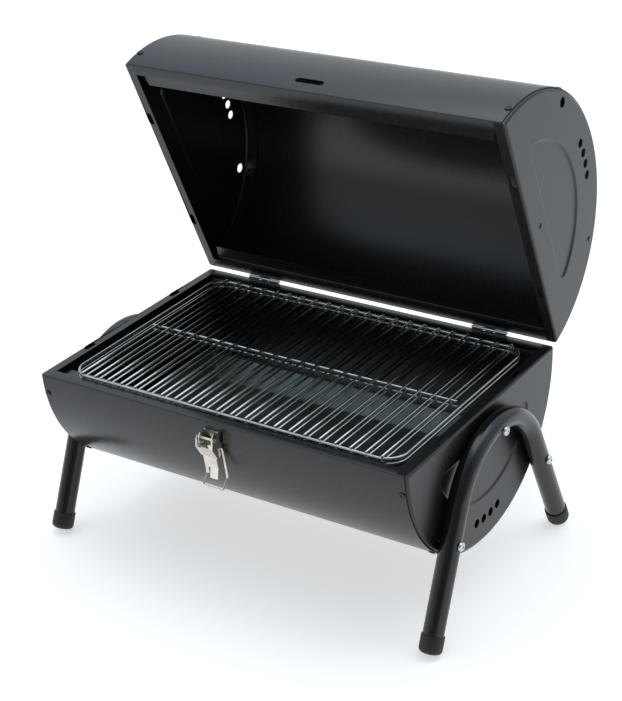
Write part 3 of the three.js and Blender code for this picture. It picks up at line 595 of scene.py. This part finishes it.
def shell_skin(overhang):
    """The rolled sheet of a half barrel, its flanges turned in."""
    size = shape()
    bm = bmesh.new()
    mid = RADIUS - SHEET / 2
    end = SHELL_END + overhang
    start = bm.verts.new((-end, -mid, -SHEET / 2))
    arc(bm, start, (-end, 0, -SHEET / 2), math.pi, size.facets)
    sweep(bm, list(bm.edges), (2 * end, 0, 0))
    rims = [e for e in bm.edges if all(abs(v.co.y) > mid - 1e-6 for v in e.verts) and e.calc_length() > 0.1]
    flange_end = CAP_FACE - CAP_WALL - GAP + overhang
    for rim in rims:
        side = math.copysign(1, rim.verts[0].co.y)
        swept = bmesh.ops.extrude_edge_only(bm, edges=[rim])["geom"]
        for vertex in only(swept, bmesh.types.BMVert):
            vertex.co = (
                math.copysign(flange_end, vertex.co.x),
                side * (RADIUS - size.flange),
                -SHEET / 2,
            )
    merge(bm)
    corners = inner_edges(bm, lambda co: abs(co.y) > mid - 1e-6 and abs(co.z + SHEET / 2) < 1e-6)
    soften(bm, [e for e in corners if e.calc_length() > 0.1], RIM_BEND, 3)
    face_out(bm)
    return bm


def ledges():
    """The stepped strips inside both rims that carry the grids."""
    size = shape()
    bm = bmesh.new()
    half = size.ledge_length / 2
    step = RADIUS - size.flange + SHEET / 2
    shelf = -size.ledge_drop - SHEET / 2
    inner = step - SHEET / 2 - size.ledge_width
    for side in (-1, 1):
        start = bm.verts.new((-half, side * step, -SHEET / 2))
        corner = line(bm, start, (-half, side * step, shelf))
        edges = [start.link_edges[0]]
        end = line(bm, corner, (-half, side * inner, shelf))
        edges.append(end.link_edges[0])
        sweep(bm, edges, (2 * half, 0, 0))
        for vertex in bm.verts:
            if abs(abs(vertex.co.y) - inner) < 1e-6:
                vertex.co.x = math.copysign(half - LEDGE_TAPER, vertex.co.x)
        bends = inner_edges(bm, lambda co: abs(co.z - shelf) < 1e-6 and abs(abs(co.y) - step) < 1e-6)
        soften(bm, bends, LEDGE_BEND, 4)
    return bm


def slot_cutter(size_long, size_high, angle, reach):
    """A rounded slot cutter through the shell at an angle round the barrel from the front rim."""
    bm = bmesh.new()
    half = size_long / 2 - size_high / 2
    start = bm.verts.new((half, -size_high / 2, 0))
    last = arc(bm, start, (half, 0, 0), math.pi, 10, (0, 0, 1))
    last = line(bm, last, (-half, size_high / 2, 0))
    last = arc(bm, last, (-half, 0, 0), math.pi, 10, (0, 0, 1))
    bm.edges.new((last, start))
    face = bmesh.ops.contextual_create(bm, geom=list(bm.edges))["faces"]
    raised = bmesh.ops.extrude_face_region(bm, geom=face)["geom"]
    bmesh.ops.translate(bm, vec=(0, 0, reach), verts=only(raised, bmesh.types.BMVert))
    face_out(bm)
    out = Vector((0, -math.cos(angle), -math.sin(angle)))
    across = Vector((1, 0, 0))
    up = out.cross(across)
    turn = Matrix((across, up, out)).transposed().to_4x4()
    bm.transform(Matrix.Translation(out * (RADIUS - reach / 2)) @ turn)
    return bm


def build_half(prefix, cutters=()):
    place, body, overhang = HALVES[prefix]
    skin = new_object(f"{prefix}_shell_skin", shell_skin(overhang))
    wall(skin, SHEET, 0.0)
    carve(skin, *cutters)
    put(skin, body, place, MATERIALS["shell"], [f"{prefix}_shell"])
    strip = new_object(f"{prefix}_grid_ledges", ledges())
    wall(strip, SHEET, 0.0)
    put(strip, body, place, MATERIALS["shell"])


class GRILL_OT_bowl_shell(bpy.types.Operator):
    """Roll the bowl's shell with its flanges and grid ledges"""

    bl_idname = "grill.bowl_shell"
    bl_label = "Bowl shell"

    def execute(self, context):
        build_half("bowl")
        return {"FINISHED"}


class GRILL_OT_lid_shell(bpy.types.Operator):
    """Roll the lid's shell and cut its latch slot"""

    bl_idname = "grill.lid_shell"
    bl_label = "Lid shell"

    def execute(self, context):
        slot = slot_cutter(*LATCH_SLOT, LATCH_SLOT_RISE / RADIUS, 0.012)
        build_half("lid", [slot])
        return {"FINISHED"}


# ---- End caps ----

LEG_HOLE = 0.0027
LID_HOLE = (0.089, -0.105)
LID_HOLE_RADIUS = 0.0054
VENT_CIRCLE = 0.124
VENT_PITCH = 0.0143
RIM_SLOT_INSET = 0.0058  # from a cap's outer face
RIM_SLOT_HALF, RIM_SLOT_RADIUS = 0.005, 0.003
RIM_SLOT_OUT = 0.075  # from the barrel's axis


def leg_screw(side, end="right"):
    """A leg screw's (y, z) from the centre of the bowl's rim."""
    low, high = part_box(f"leg_screw_{side}_{end}")
    return ((low.y + high.y) / 2 - BOWL.translation.y, (low.z + high.z) / 2 - BOWL.translation.z)


LEG_SCREWS = [leg_screw(side) for side in ("top", "front", "rear")]
VENT_ANGLES = [(i - 1.5) * VENT_PITCH / VENT_CIRCLE for i in range(4)]
VENTS = [(VENT_CIRCLE * math.sin(a), -VENT_CIRCLE * math.cos(a)) for a in VENT_ANGLES]


def rounded_panel(bm, x, radius, top, corner):
    """The D outline of the pressed panel, as one face."""
    level = top + corner
    across = math.sqrt((radius - corner) ** 2 - level**2)
    turn = math.atan2(-level, across)
    start = bm.verts.new((x, -across, -top))
    last = arc(bm, start, (x, -across, -level), math.pi / 2 - turn, 8)
    last = arc(bm, last, (x, 0, 0), math.pi + 2 * turn, 60)
    last = arc(bm, last, (x, across, -level), math.pi / 2 - turn, 8)
    bm.edges.new((last, start))
    verts = []
    edge, vertex = start.link_edges[0], start
    while True:
        verts.append(vertex)
        vertex = edge.other_vert(vertex)
        if vertex == start:
            break
        edge = next(e for e in vertex.link_edges if e != edge)
    return bm.faces.new(verts)


def end_cap(holes):
    """The right-hand cap: a drawn half-round pan with a pressed panel, vents, rim slots and round holes."""
    size = shape()
    bm = bmesh.new()
    radius = RADIUS - SHEET - GAP
    start = bm.verts.new((CAP_FACE, -radius, 0))
    last = arc(bm, start, (CAP_FACE, 0, 0), math.pi, size.facets)
    bm.edges.new((last, start))
    face = bmesh.ops.contextual_create(bm, geom=list(bm.edges))["faces"]
    drawn = bmesh.ops.extrude_face_region(bm, geom=face)["geom"]
    bmesh.ops.translate(bm, vec=(-size.cap_depth, 0, 0), verts=only(drawn, bmesh.types.BMVert))
    face_out(bm)
    back = [f for f in bm.faces if f.normal.x < -0.99]
    bmesh.ops.delete(bm, geom=back, context="FACES_ONLY")
    rim_end = CAP_FACE - CAP_WALL
    lid_face = next(f for f in bm.faces if f.normal.z > 0.99)
    bmesh.ops.bisect_plane(
        bm, geom=[lid_face, *lid_face.edges, *lid_face.verts], plane_co=(rim_end, 0, 0), plane_no=(1, 0, 0)
    )
    spare = [f for f in bm.faces if f.normal.z > 0.99 and f.calc_center_median().x < rim_end]
    bmesh.ops.delete(bm, geom=spare, context="FACES")
    outline = [e for e in bm.edges if all(abs(v.co.x - CAP_FACE) < 1e-7 for v in e.verts)]
    soften(bm, outline, size.cap_bend, 5)
    face_out(bm)
    punch_front(bm, size, holes)
    punch_rim(bm)
    return bm


def punch(bm, face, holes):
    """Replaces a flat face by one that leaves the outlines in holes open."""
    outline = list(face.edges)
    bmesh.ops.delete(bm, geom=[face], context="FACES_ONLY")
    bmesh.ops.triangle_fill(bm, edges=outline + holes, use_beauty=True, use_dissolve=False)


def punch_front(bm, size, round_holes):
    """Opens the round holes in a cap's face, and presses its panel in."""
    front = max((f for f in bm.faces if f.normal.x > 0.99), key=lambda f: f.calc_area())
    bmesh.ops.inset_region(bm, faces=[front], thickness=0.0004, use_even_offset=True, use_boundary=True)
    normal = front.normal.copy()
    holes = []
    facing = Matrix.Rotation(math.pi / 2, 4, "Y")
    for (y, z), radius in round_holes + [(v, size.vent) for v in VENTS]:
        circle = bmesh.ops.create_circle(
            bm,
            cap_ends=False,
            segments=28,
            radius=radius,
            matrix=Matrix.Translation((CAP_FACE, y, z)) @ facing,
        )
        holes += edges_of(circle["verts"])
    panel = rounded_panel(bm, CAP_FACE, size.panel_radius, size.panel_top, size.panel_corner)
    if panel.normal.dot(normal) < 0:
        panel.normal_flip()
    holes += list(panel.edges)
    punch(bm, front, holes)
    wide, deep = size.step_width, size.panel_depth
    for share, depth in ((0.1, 0), (0.2, 0.12), (0.25, 0.38), (0.25, 0.38), (0.2, 0.12), (0.1, 0)):
        bmesh.ops.inset_region(
            bm,
            faces=[panel],
            thickness=wide * share,
            depth=-deep * depth,
            use_even_offset=True,
            use_boundary=True,
        )
    merge(bm, 1e-6)
    face_out(bm)


def punch_rim(bm):
    """Opens the two slots in a cap's wall along the rim."""
    rim = max((f for f in bm.faces if f.normal.z > 0.99), key=lambda f: f.calc_area())
    cap_edges = set(bm.edges)
    half, radius = RIM_SLOT_HALF, RIM_SLOT_RADIUS
    for side in (-1, 1):
        centre = Vector((CAP_FACE - RIM_SLOT_INSET, side * RIM_SLOT_OUT, rim.calc_center_median().z))
        start = bm.verts.new(centre + Vector((radius, -half, 0)))
        last = arc(bm, start, centre + Vector((0, -half, 0)), -math.pi, 8, (0, 0, 1))
        last = line(bm, last, centre + Vector((-radius, half, 0)))
        last = arc(bm, last, centre + Vector((0, half, 0)), -math.pi, 8, (0, 0, 1))
        bm.edges.new((last, start))
    punch(bm, rim, [e for e in bm.edges if e not in cap_edges])
    face_out(bm)


class GRILL_OT_end_caps(bpy.types.Operator):
    """Press the four end caps"""

    bl_idname = "grill.end_caps"
    bl_label = "End caps"

    def execute(self, context):
        half_turn = Matrix.Rotation(math.pi, 4, "Z")
        leg_holes = [(place, LEG_HOLE) for place in LEG_SCREWS]
        bm = bmesh.new()
        dome = [(0, 0), (0.0030, 0), (0.0029, 0.0004), (0.0022, 0.0008), (0.001, 0.001), (0, 0.00104)]
        lathe(bm, dome, 28)
        plug = new_object("plug", bm)
        for prefix, holes in (("bowl", leg_holes), ("lid", [(LID_HOLE, LID_HOLE_RADIUS)])):
            place, body, overhang = HALVES[prefix]
            master = new_object("end_cap_pressing", end_cap(holes))
            wall(master, SHEET)
            for local, turn in ((1, Matrix.Identity(4)), (-1, half_turn)):
                end = "right" if (local > 0) == (prefix == "bowl") else "left"
                name = f"{prefix}_end_cap_{end}"
                spot = place @ turn @ Matrix.Translation((overhang, 0, 0))
                piece = copy_of(master, f"{name}_pressing")
                put(piece, body, spot, MATERIALS["cap"], [name], sharp=28)
                if prefix == "lid":
                    self.plugs(plug, f"lid_cap_plugs_{end}", body, spot)
            bpy.data.objects.remove(master)
        bpy.data.objects.remove(plug)
        return {"FINISHED"}

    def plugs(self, plug, name, body, spot):
        """The painted rivets that fill the two places where the bowl's caps have leg screws."""
        seats = [
            Matrix.Translation((CAP_FACE + 0.0001, y, z)) @ Matrix.Rotation(math.pi / 2, 4, "Y")
            for y, z in LEG_SCREWS[:2]
        ]
        put(joined(name, plug, seats), body, spot, MATERIALS["cap"])


# ---- Screws ----

SHELL_SCREW_INSET = 0.007  # from a cap's outer face
SHELL_SCREW_TURNS = ((8.5, 0.5), (49, 1.1), (90, 0.2), (131, 0.9), (171.5, 1.4))  # place, and recess
LEG_SCREW_HEAD = 0.0031


def pan_head(head, height, shank, reach, recess):
    """A pan-head screw with a cross recess, its head up Z from the seat at 0."""
    bm = bmesh.new()
    lathe(
        bm,
        [
            (0, -reach),
            (shank * 0.6, -reach),
            (shank, -reach + shank * 0.5),
            (shank, 0),
            (head * 0.97, 0),
            (head, height * 0.08),
            (head * 0.99, height * 0.35),
            (head * 0.9, height * 0.68),
            (head * 0.7, height * 0.9),
            (head * 0.4, height * 0.99),
            (0, height),
        ],
        36,
    )
    piece = new_object("pan_head_screw", bm)
    width = recess * 0.22
    cutters = []
    for turn in (0, math.pi / 2):
        cutter = box_cut((-recess, -width, height * 0.45), (recess, width, height * 1.5))
        for vertex in cutter.verts:
            if vertex.co.z < height:
                vertex.co.x *= 0.35
                vertex.co.y *= 0.6
        cutter.transform(Matrix.Rotation(turn, 4, "Z"))
        cutters.append(cutter)
    carve(piece, *cutters)
    return piece


def spoke(angle, distance, x):
    """The place at an angle round the barrel, from 0 at the front rim, with Z pointing out."""
    out = Vector((0, -math.cos(angle), -math.sin(angle)))
    across = Vector((1, 0, 0))
    turn = Matrix((across, out.cross(across), out)).transposed().to_4x4()
    return Matrix.Translation(out * distance + Vector((x, 0, 0))) @ turn


def joined(name, master, places):
    """One mesh of many copies of a master piece."""
    bm = bmesh.new()
    for place in places:
        copy = master.data.copy()
        copy.transform(place)
        bm.from_mesh(copy)
        bpy.data.meshes.remove(copy)
    return new_object(name, bm)


class GRILL_OT_screws(bpy.types.Operator):
    """Set the screws that hold the shells and the leg frames"""

    bl_idname = "grill.screws"
    bl_label = "Screws"

    def execute(self, context):
        small = pan_head(0.0036, 0.0015, 0.0016, 0.006, 0.0019)
        for prefix, (place, body, overhang) in HALVES.items():
            x = CAP_FACE - SHELL_SCREW_INSET + overhang
            for sign in (-1, 1):
                end = "right" if (sign > 0) == (prefix == "bowl") else "left"
                name = f"{prefix}_shell_screws_{end}"
                places = [
                    spoke(math.radians(degrees), RADIUS + GAP / 2, sign * x)
                    @ Matrix.Rotation(turn, 4, "Z")
                    for degrees, turn in SHELL_SCREW_TURNS
                ]
                screws = joined(name, small, places)
                nodes = [f"{prefix}_screw_{side}_{end}" for side in ("front", "rear")]
                put(screws, body, place, MATERIALS["screw"], nodes, sharp=30)
        bpy.data.objects.remove(small)
        large = pan_head(0.005, LEG_SCREW_HEAD, 0.0024, 0.034, 0.0026)
        for end, sign in ENDS:
            for side in ("top", "front", "rear"):
                y, z = leg_screw(side, end)
                node_name = f"leg_screw_{side}_{end}"
                low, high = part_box(node_name)
                seat = (high.x if sign > 0 else low.x) - sign * LEG_SCREW_HEAD
                turn = Matrix.Rotation(sign * math.pi / 2, 4, "Y")
                spot = Matrix.Translation((seat, BOWL.translation.y + y, BOWL.translation.z + z))
                screw = copy_of(large, f"{node_name}_pan_head")
                place = spot @ turn @ Matrix.Rotation(0.4 + 2 * y * 10, 4, "Z")
                put(screw, "base", place, MATERIALS["zinc"], [node_name], sharp=30)
        bpy.data.objects.remove(large)
        return {"FINISHED"}


# ---- Legs ----

LEG_FLARE = math.radians(24.7)
ARCH_TOP = 0.016  # below the rim
FOOT_LENGTH = 0.0185
FOOT_FLOOR = 0.003


class GRILL_OT_legs(bpy.types.Operator):
    """Bend the leg frames and fit their plastic feet"""

    bl_idname = "grill.legs"
    bl_label = "Legs and feet"

    def execute(self, context):
        size = shape()
        bend = math.pi / 2 - LEG_FLARE
        centre_z = -ARCH_TOP - size.arch
        down = Vector((0, math.sin(LEG_FLARE), -math.cos(LEG_FLARE)))
        tangent = Vector((0, size.arch * math.sin(bend), centre_z + size.arch * math.cos(bend)))
        for end, _ in ENDS:
            low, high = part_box(f"leg_frame_{end}")
            middle = (low.x + high.x) / 2
            floor_end = low.z - BOWL.translation.z
            run = (tangent.z - floor_end) / math.cos(LEG_FLARE) - size.tube * math.tan(LEG_FLARE)
            bm = bmesh.new()
            foot = tangent + down * run
            start = Vector((middle, foot.y, foot.z))
            pipe = Pipe(bm, start, -down, size.tube, 40)
            pipe.go(-down * run)
            pipe.turn((middle, 0, centre_z), (1, 0, 0), 2 * bend, 48)
            pipe.go(Vector((0, -down.y, down.z)) * run)
            pipe.close()
            tube = new_object(f"leg_frame_{end}_tube", bm)
            put(tube, "base", BOWL, MATERIALS["tube"], [f"leg_frame_{end}"])
            for side, facing in (("front", -1), ("rear", 1)):
                self.foot(f"foot_cap_{side}_{end}", middle, facing, size)
        return {"FINISHED"}

    def foot(self, name, x, facing, size):
        low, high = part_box(name)
        outer = (high.x - low.x) / 2
        bore = size.tube + GAP
        tall = FOOT_LENGTH
        bm = bmesh.new()
        lathe(
            bm,
            [
                (0, 0.0006),
                (outer * 0.55, 0.0006),
                (outer * 0.62, 0),
                (outer - 0.0035, 0),
                (outer - 0.0020, 0.0006),
                (outer - 0.0008, 0.0018),
                (outer - 0.0001, 0.0035),
                (outer, 0.0055),
                (outer, tall - 0.0008),
                (outer - 0.0003, tall - 0.0002),
                (outer - 0.0007, tall),
                (bore, tall),
                (bore, FOOT_FLOOR),
                (0, FOOT_FLOOR),
            ],
            48,
        )
        foot = new_object(f"{name}_moulding", bm)
        end = self.foot_end(low, high, facing, outer)
        place = Matrix.Translation((x, end.y, end.z)) @ Matrix.Rotation(facing * LEG_FLARE, 4, "X")
        put(foot, "base", place, MATERIALS["foot"], [name])

    def foot_end(self, low, high, facing, outer):
        """The centre of a foot's end face. Its box ends at the two corners of the tilted mouth."""
        z = high.z - FOOT_LENGTH * math.cos(LEG_FLARE) - outer * math.sin(LEG_FLARE)
        reach = outer * math.cos(LEG_FLARE) + FOOT_LENGTH * math.sin(LEG_FLARE)
        y = low.y + reach if facing > 0 else high.y - reach
        return Vector((0, y, z))


# ---- Grids and tray ----

GRID_CORNER = 0.022
ROD_PITCH = 0.0175
ROD_WELD = 0.0003  # how deep a rod sinks into the frame wire
BAR_OVERHANG = 0.0075  # of the middle bar past the outer rods
WIRE_END = 0.0005  # rounding of a cut end
TRAY_CORNER = 0.009
TRAY_LIP = 0.005
TRAY_LEAN = 0.042  # how much narrower the bottom is than the mouth


def round_ends(bm, verts, axis):
    """Rounds the two ends of a rod that runs along an axis."""
    ends = [e for e in edges_of(verts) if abs(e.verts[0].co[axis] - e.verts[1].co[axis]) < 1e-6]
    soften(bm, ends, WIRE_END, 2)


def grid_mesh(length_x, depth_y):
    """A wire grid with the bottom of its frame wire at z = 0, centred on the origin."""
    size = shape()
    wire = size.frame_wire / 2
    half_x, half_y = length_x / 2 - wire, depth_y / 2 - wire
    bend = GRID_CORNER - wire
    run_x, run_y = half_x - bend, half_y - bend
    bm = bmesh.new()
    pipe = Pipe(bm, (-run_x, -half_y, wire), (1, 0, 0), wire, 14)
    sides = (((1, 0), (1, -1)), ((0, 1), (1, 1)), ((-1, 0), (-1, 1)), ((0, -1), (-1, -1)))
    for (along_x, along_y), (corner_x, corner_y) in sides:
        pipe.go((2 * run_x * along_x, 2 * run_y * along_y, 0))
        pipe.turn((run_x * corner_x, run_y * corner_y, wire), (0, 0, 1), math.pi / 2, 12)
    merge(bm, 1e-5)
    thin = size.rod_wire / 2
    height = size.frame_wire - ROD_WELD + thin
    reach = depth_y / 2 - size.frame_wire / 4
    for i in range(size.rods):
        x = (i - (size.rods - 1) / 2) * ROD_PITCH
        round_ends(bm, rod(bm, (x, -reach, height), (x, reach, height), thin, 12), 1)
    bar = (size.rods - 1) / 2 * ROD_PITCH + BAR_OVERHANG
    round_ends(bm, rod(bm, (-bar, 0, wire), (bar, 0, wire), wire, 14), 0)
    face_out(bm)
    return bm


class GRILL_OT_grids(bpy.types.Operator):
    """Weld the two wire grids"""

    bl_idname = "grill.grids"
    bl_label = "Grids"

    def execute(self, context):
        for name, body in (("cooking_grid", "upper_grid"), ("lower_grid", "lower_grid")):
            low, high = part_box(name)
            grid = new_object(f"{name}_wires", grid_mesh(high.x - low.x, high.y - low.y))
            place = Matrix.Translation(((low.x + high.x) / 2, (low.y + high.y) / 2, low.z))
            put(grid, body, place, MATERIALS["chrome"], [name], sharp=50)
        return {"FINISHED"}


class GRILL_OT_tray(bpy.types.Operator):
    """Fold the charcoal tray"""

    bl_idname = "grill.tray"
    bl_label = "Charcoal tray"

    def execute(self, context):
        low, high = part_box("charcoal_tray")
        bm = bmesh.new()
        span = Matrix.Diagonal((high.x - low.x, high.y - low.y, 1, 1))
        bmesh.ops.create_grid(bm, x_segments=1, y_segments=1, size=0.5, matrix=span)
        bmesh.ops.bevel(
            bm,
            geom=list(bm.verts),
            offset=TRAY_CORNER,
            segments=6,
            profile=0.5,
            affect="VERTICES",
            material=-1,
        )
        mouth = list(bm.faces)
        bmesh.ops.inset_region(
            bm, faces=mouth, thickness=TRAY_LIP, depth=0, use_even_offset=True, use_boundary=True
        )
        sunk = bmesh.ops.extrude_face_region(bm, geom=mouth)["geom"]
        bmesh.ops.delete(bm, geom=mouth, context="FACES_ONLY")
        floor = only(sunk, bmesh.types.BMFace)
        verts = only(sunk, bmesh.types.BMVert)
        depth = high.z - low.z - SHEET
        bmesh.ops.translate(bm, vec=(0, 0, -depth), verts=verts)
        wide_x, wide_y = high.x - low.x - 2 * TRAY_LIP, high.y - low.y - 2 * TRAY_LIP
        shrink = (1 - TRAY_LEAN / wide_x, 1 - TRAY_LEAN / wide_y, 1)
        bmesh.ops.scale(bm, vec=shrink, verts=verts)
        soften(bm, list(floor[0].edges), 0.002, 4)
        soften(bm, inner_edges(bm, lambda co: abs(co.z) < 1e-6), 0.0012, 3)
        face_out(bm)
        if sum(f.normal.z * f.calc_area() for f in bm.faces) < 0:
            bmesh.ops.reverse_faces(bm, faces=bm.faces)
        tray = new_object("charcoal_tray_pan", bm)
        wall(tray, SHEET)
        place = Matrix.Translation(((low.x + high.x) / 2, (low.y + high.y) / 2, high.z))
        put(tray, "tray", place, MATERIALS["tray"], ["charcoal_tray"], sharp=40)
        return {"FINISHED"}


# ---- Small fittings that keep their CAD shape ----


class GRILL_OT_fittings(bpy.types.Operator):
    """Give the hinges, latch, rivets and nuts their plating"""

    bl_idname = "grill.fittings"
    bl_label = "Fittings"

    def execute(self, context):
        for name, piece in frame["nodes"].items():
            if name.startswith("latch"):
                material = MATERIALS["nickel"]
            elif name.startswith(("hinge", "leg_nut")):
                material = MATERIALS["zinc"]
            else:
                continue
            piece.data.materials.clear()
            piece.data.materials.append(material)
        return {"FINISHED"}


# ---- Stage ----


def area_light(name, place, target, size_x, size_y, power, tone=(1, 1, 1)):
    light = bpy.data.lights.new(name, "AREA")
    light.shape = "RECTANGLE"
    light.size = size_x
    light.size_y = size_y
    light.energy = power
    light.color = tone
    lamp = bpy.data.objects.new(name, light)
    bpy.context.scene.collection.objects.link(lamp)
    aim = (Vector(target) - Vector(place)).to_track_quat("-Z", "Y").to_matrix().to_4x4()
    lamp.matrix_world = Matrix.Translation(place) @ aim
    return lamp


class GRILL_OT_stage(bpy.types.Operator):
    """Set the floor, the soft lights and the camera"""

    bl_idname = "grill.stage"
    bl_label = "Stage"

    def execute(self, context):
        scene = context.scene
        self.floor()
        self.lights(scene)
        self.camera(scene)
        return {"FINISHED"}

    def floor(self):
        bm = bmesh.new()
        bmesh.ops.create_circle(bm, cap_ends=True, segments=96, radius=9.0)
        floor = new_object("studio_floor", bm)
        material, tree, shader, place, bump = principled("Studio floor")
        grain = noise(tree, place, 3.0, 2.0)
        base = finishes().floor
        tone = blend(tree, grain, tinted(base, 0.99), tinted(base, 1.01))
        link(tree, tone, shader.inputs["Base Color"])
        link(tree, noise(tree, place, 400.0), bump.inputs["Height"])
        bump.inputs["Strength"].default_value = 0.02
        shader.inputs["Roughness"].default_value = 0.6
        shader.inputs["Emission Color"].default_value = (1, 1, 1, 1)
        shader.inputs["Emission Strength"].default_value = 0.55
        floor.data.materials.append(material)

    def lights(self, scene):
        world = bpy.data.worlds.new("Studio")
        world.use_nodes = True
        tree = world.node_tree
        background = next(n for n in tree.nodes if n.type == "BACKGROUND")
        direction = tree.nodes.new("ShaderNodeTexCoord")
        split = tree.nodes.new("ShaderNodeSeparateXYZ")
        link(tree, direction.outputs["Generated"], split.inputs[0])
        height = remap(tree, split.outputs["Z"], 0.0, 0.8, 0.0, 1.0)
        link(tree, blend(tree, height, (1, 1, 1, 1), (0.70, 0.86, 1.0, 1)), background.inputs["Color"])
        dome = remap(tree, split.outputs["Z"], 0.0, 0.8, 0.6, 1.3)
        toward = node(tree, "ShaderNodeVectorMath", operation="DOT_PRODUCT")
        link(tree, direction.outputs["Generated"], toward.inputs[0])
        toward.inputs[1].default_value = (0.518, -0.727, 0.45)
        dark_end = remap(tree, toward.outputs["Value"], 0.35, 0.9, 1.0, 0.2)
        room = maths(tree, "MULTIPLY", dome, dark_end)
        seen = tree.nodes.new("ShaderNodeLightPath")
        link(tree, maths(tree, "MAXIMUM", room, seen.outputs["Is Camera Ray"]), background.inputs["Strength"])
        scene.world = world
        scene.view_settings.view_transform = "Standard"
        area_light("top_softbox", (0.1, 0.4, 2.4), (0, 0, 0.2), 2.4, 1.8, 20)

    def camera(self, scene):
        lens = bpy.data.cameras.new("camera")
        lens.sensor_width = 36
        lens.lens = 89.63
        lens.clip_end = 50
        camera = bpy.data.objects.new("camera", lens)
        scene.collection.objects.link(camera)
        azimuth, elevation, roll = (math.radians(a) for a in (35.457, 26.759, -3.851))
        back = Vector(
            (
                math.sin(azimuth) * math.cos(elevation),
                -math.cos(azimuth) * math.cos(elevation),
                math.sin(elevation),
            )
        )
        right = Vector((math.cos(azimuth), math.sin(azimuth), 0))
        up = back.cross(right)
        level = Matrix((right, up, back)).transposed().to_4x4()
        spot = BOWL.translation + Vector((0.9587, -1.3181, 0.8318))
        camera.matrix_world = Matrix.Translation(spot) @ level @ Matrix.Rotation(roll, 4, "Z")
        scene.camera = camera


# ---- Panel and registration ----

STEPS = (
    GRILL_OT_materials,
    GRILL_OT_bowl_shell,
    GRILL_OT_lid_shell,
    GRILL_OT_end_caps,
    GRILL_OT_screws,
    GRILL_OT_legs,
    GRILL_OT_grids,
    GRILL_OT_tray,
    GRILL_OT_fittings,
    GRILL_OT_stage,
)


class GRILL_PT_pieces(bpy.types.Panel):
    """Lists the grill's pieces and its main sizes"""

    bl_idname = "GRILL_PT_pieces"
    bl_label = "Grill"
    bl_space_type = "VIEW_3D"
    bl_region_type = "UI"
    bl_category = "Grill"

    def draw(self, context):
        layout = self.layout
        for step in STEPS:
            layout.operator(step.bl_idname)
        for group in (context.scene.grill_shape, context.scene.grill_finish):
            box = layout.box()
            for key in group.__annotations__:
                box.prop(group, key)


CLASSES = (GrillShape, GrillFinish, *STEPS, GRILL_PT_pieces)


def register():
    for item in CLASSES:
        bpy.utils.register_class(item)
    bpy.types.Scene.grill_shape = PointerProperty(type=GrillShape)
    bpy.types.Scene.grill_finish = PointerProperty(type=GrillFinish)


def unregister():
    del bpy.types.Scene.grill_finish
    del bpy.types.Scene.grill_shape
    for item in reversed(CLASSES):
        bpy.utils.unregister_class(item)


def main():
    register()
    for step in STEPS:
        group, name = step.bl_idname.split(".")
        getattr(getattr(bpy.ops, group), name)()


if __name__ == "__main__":
    main()
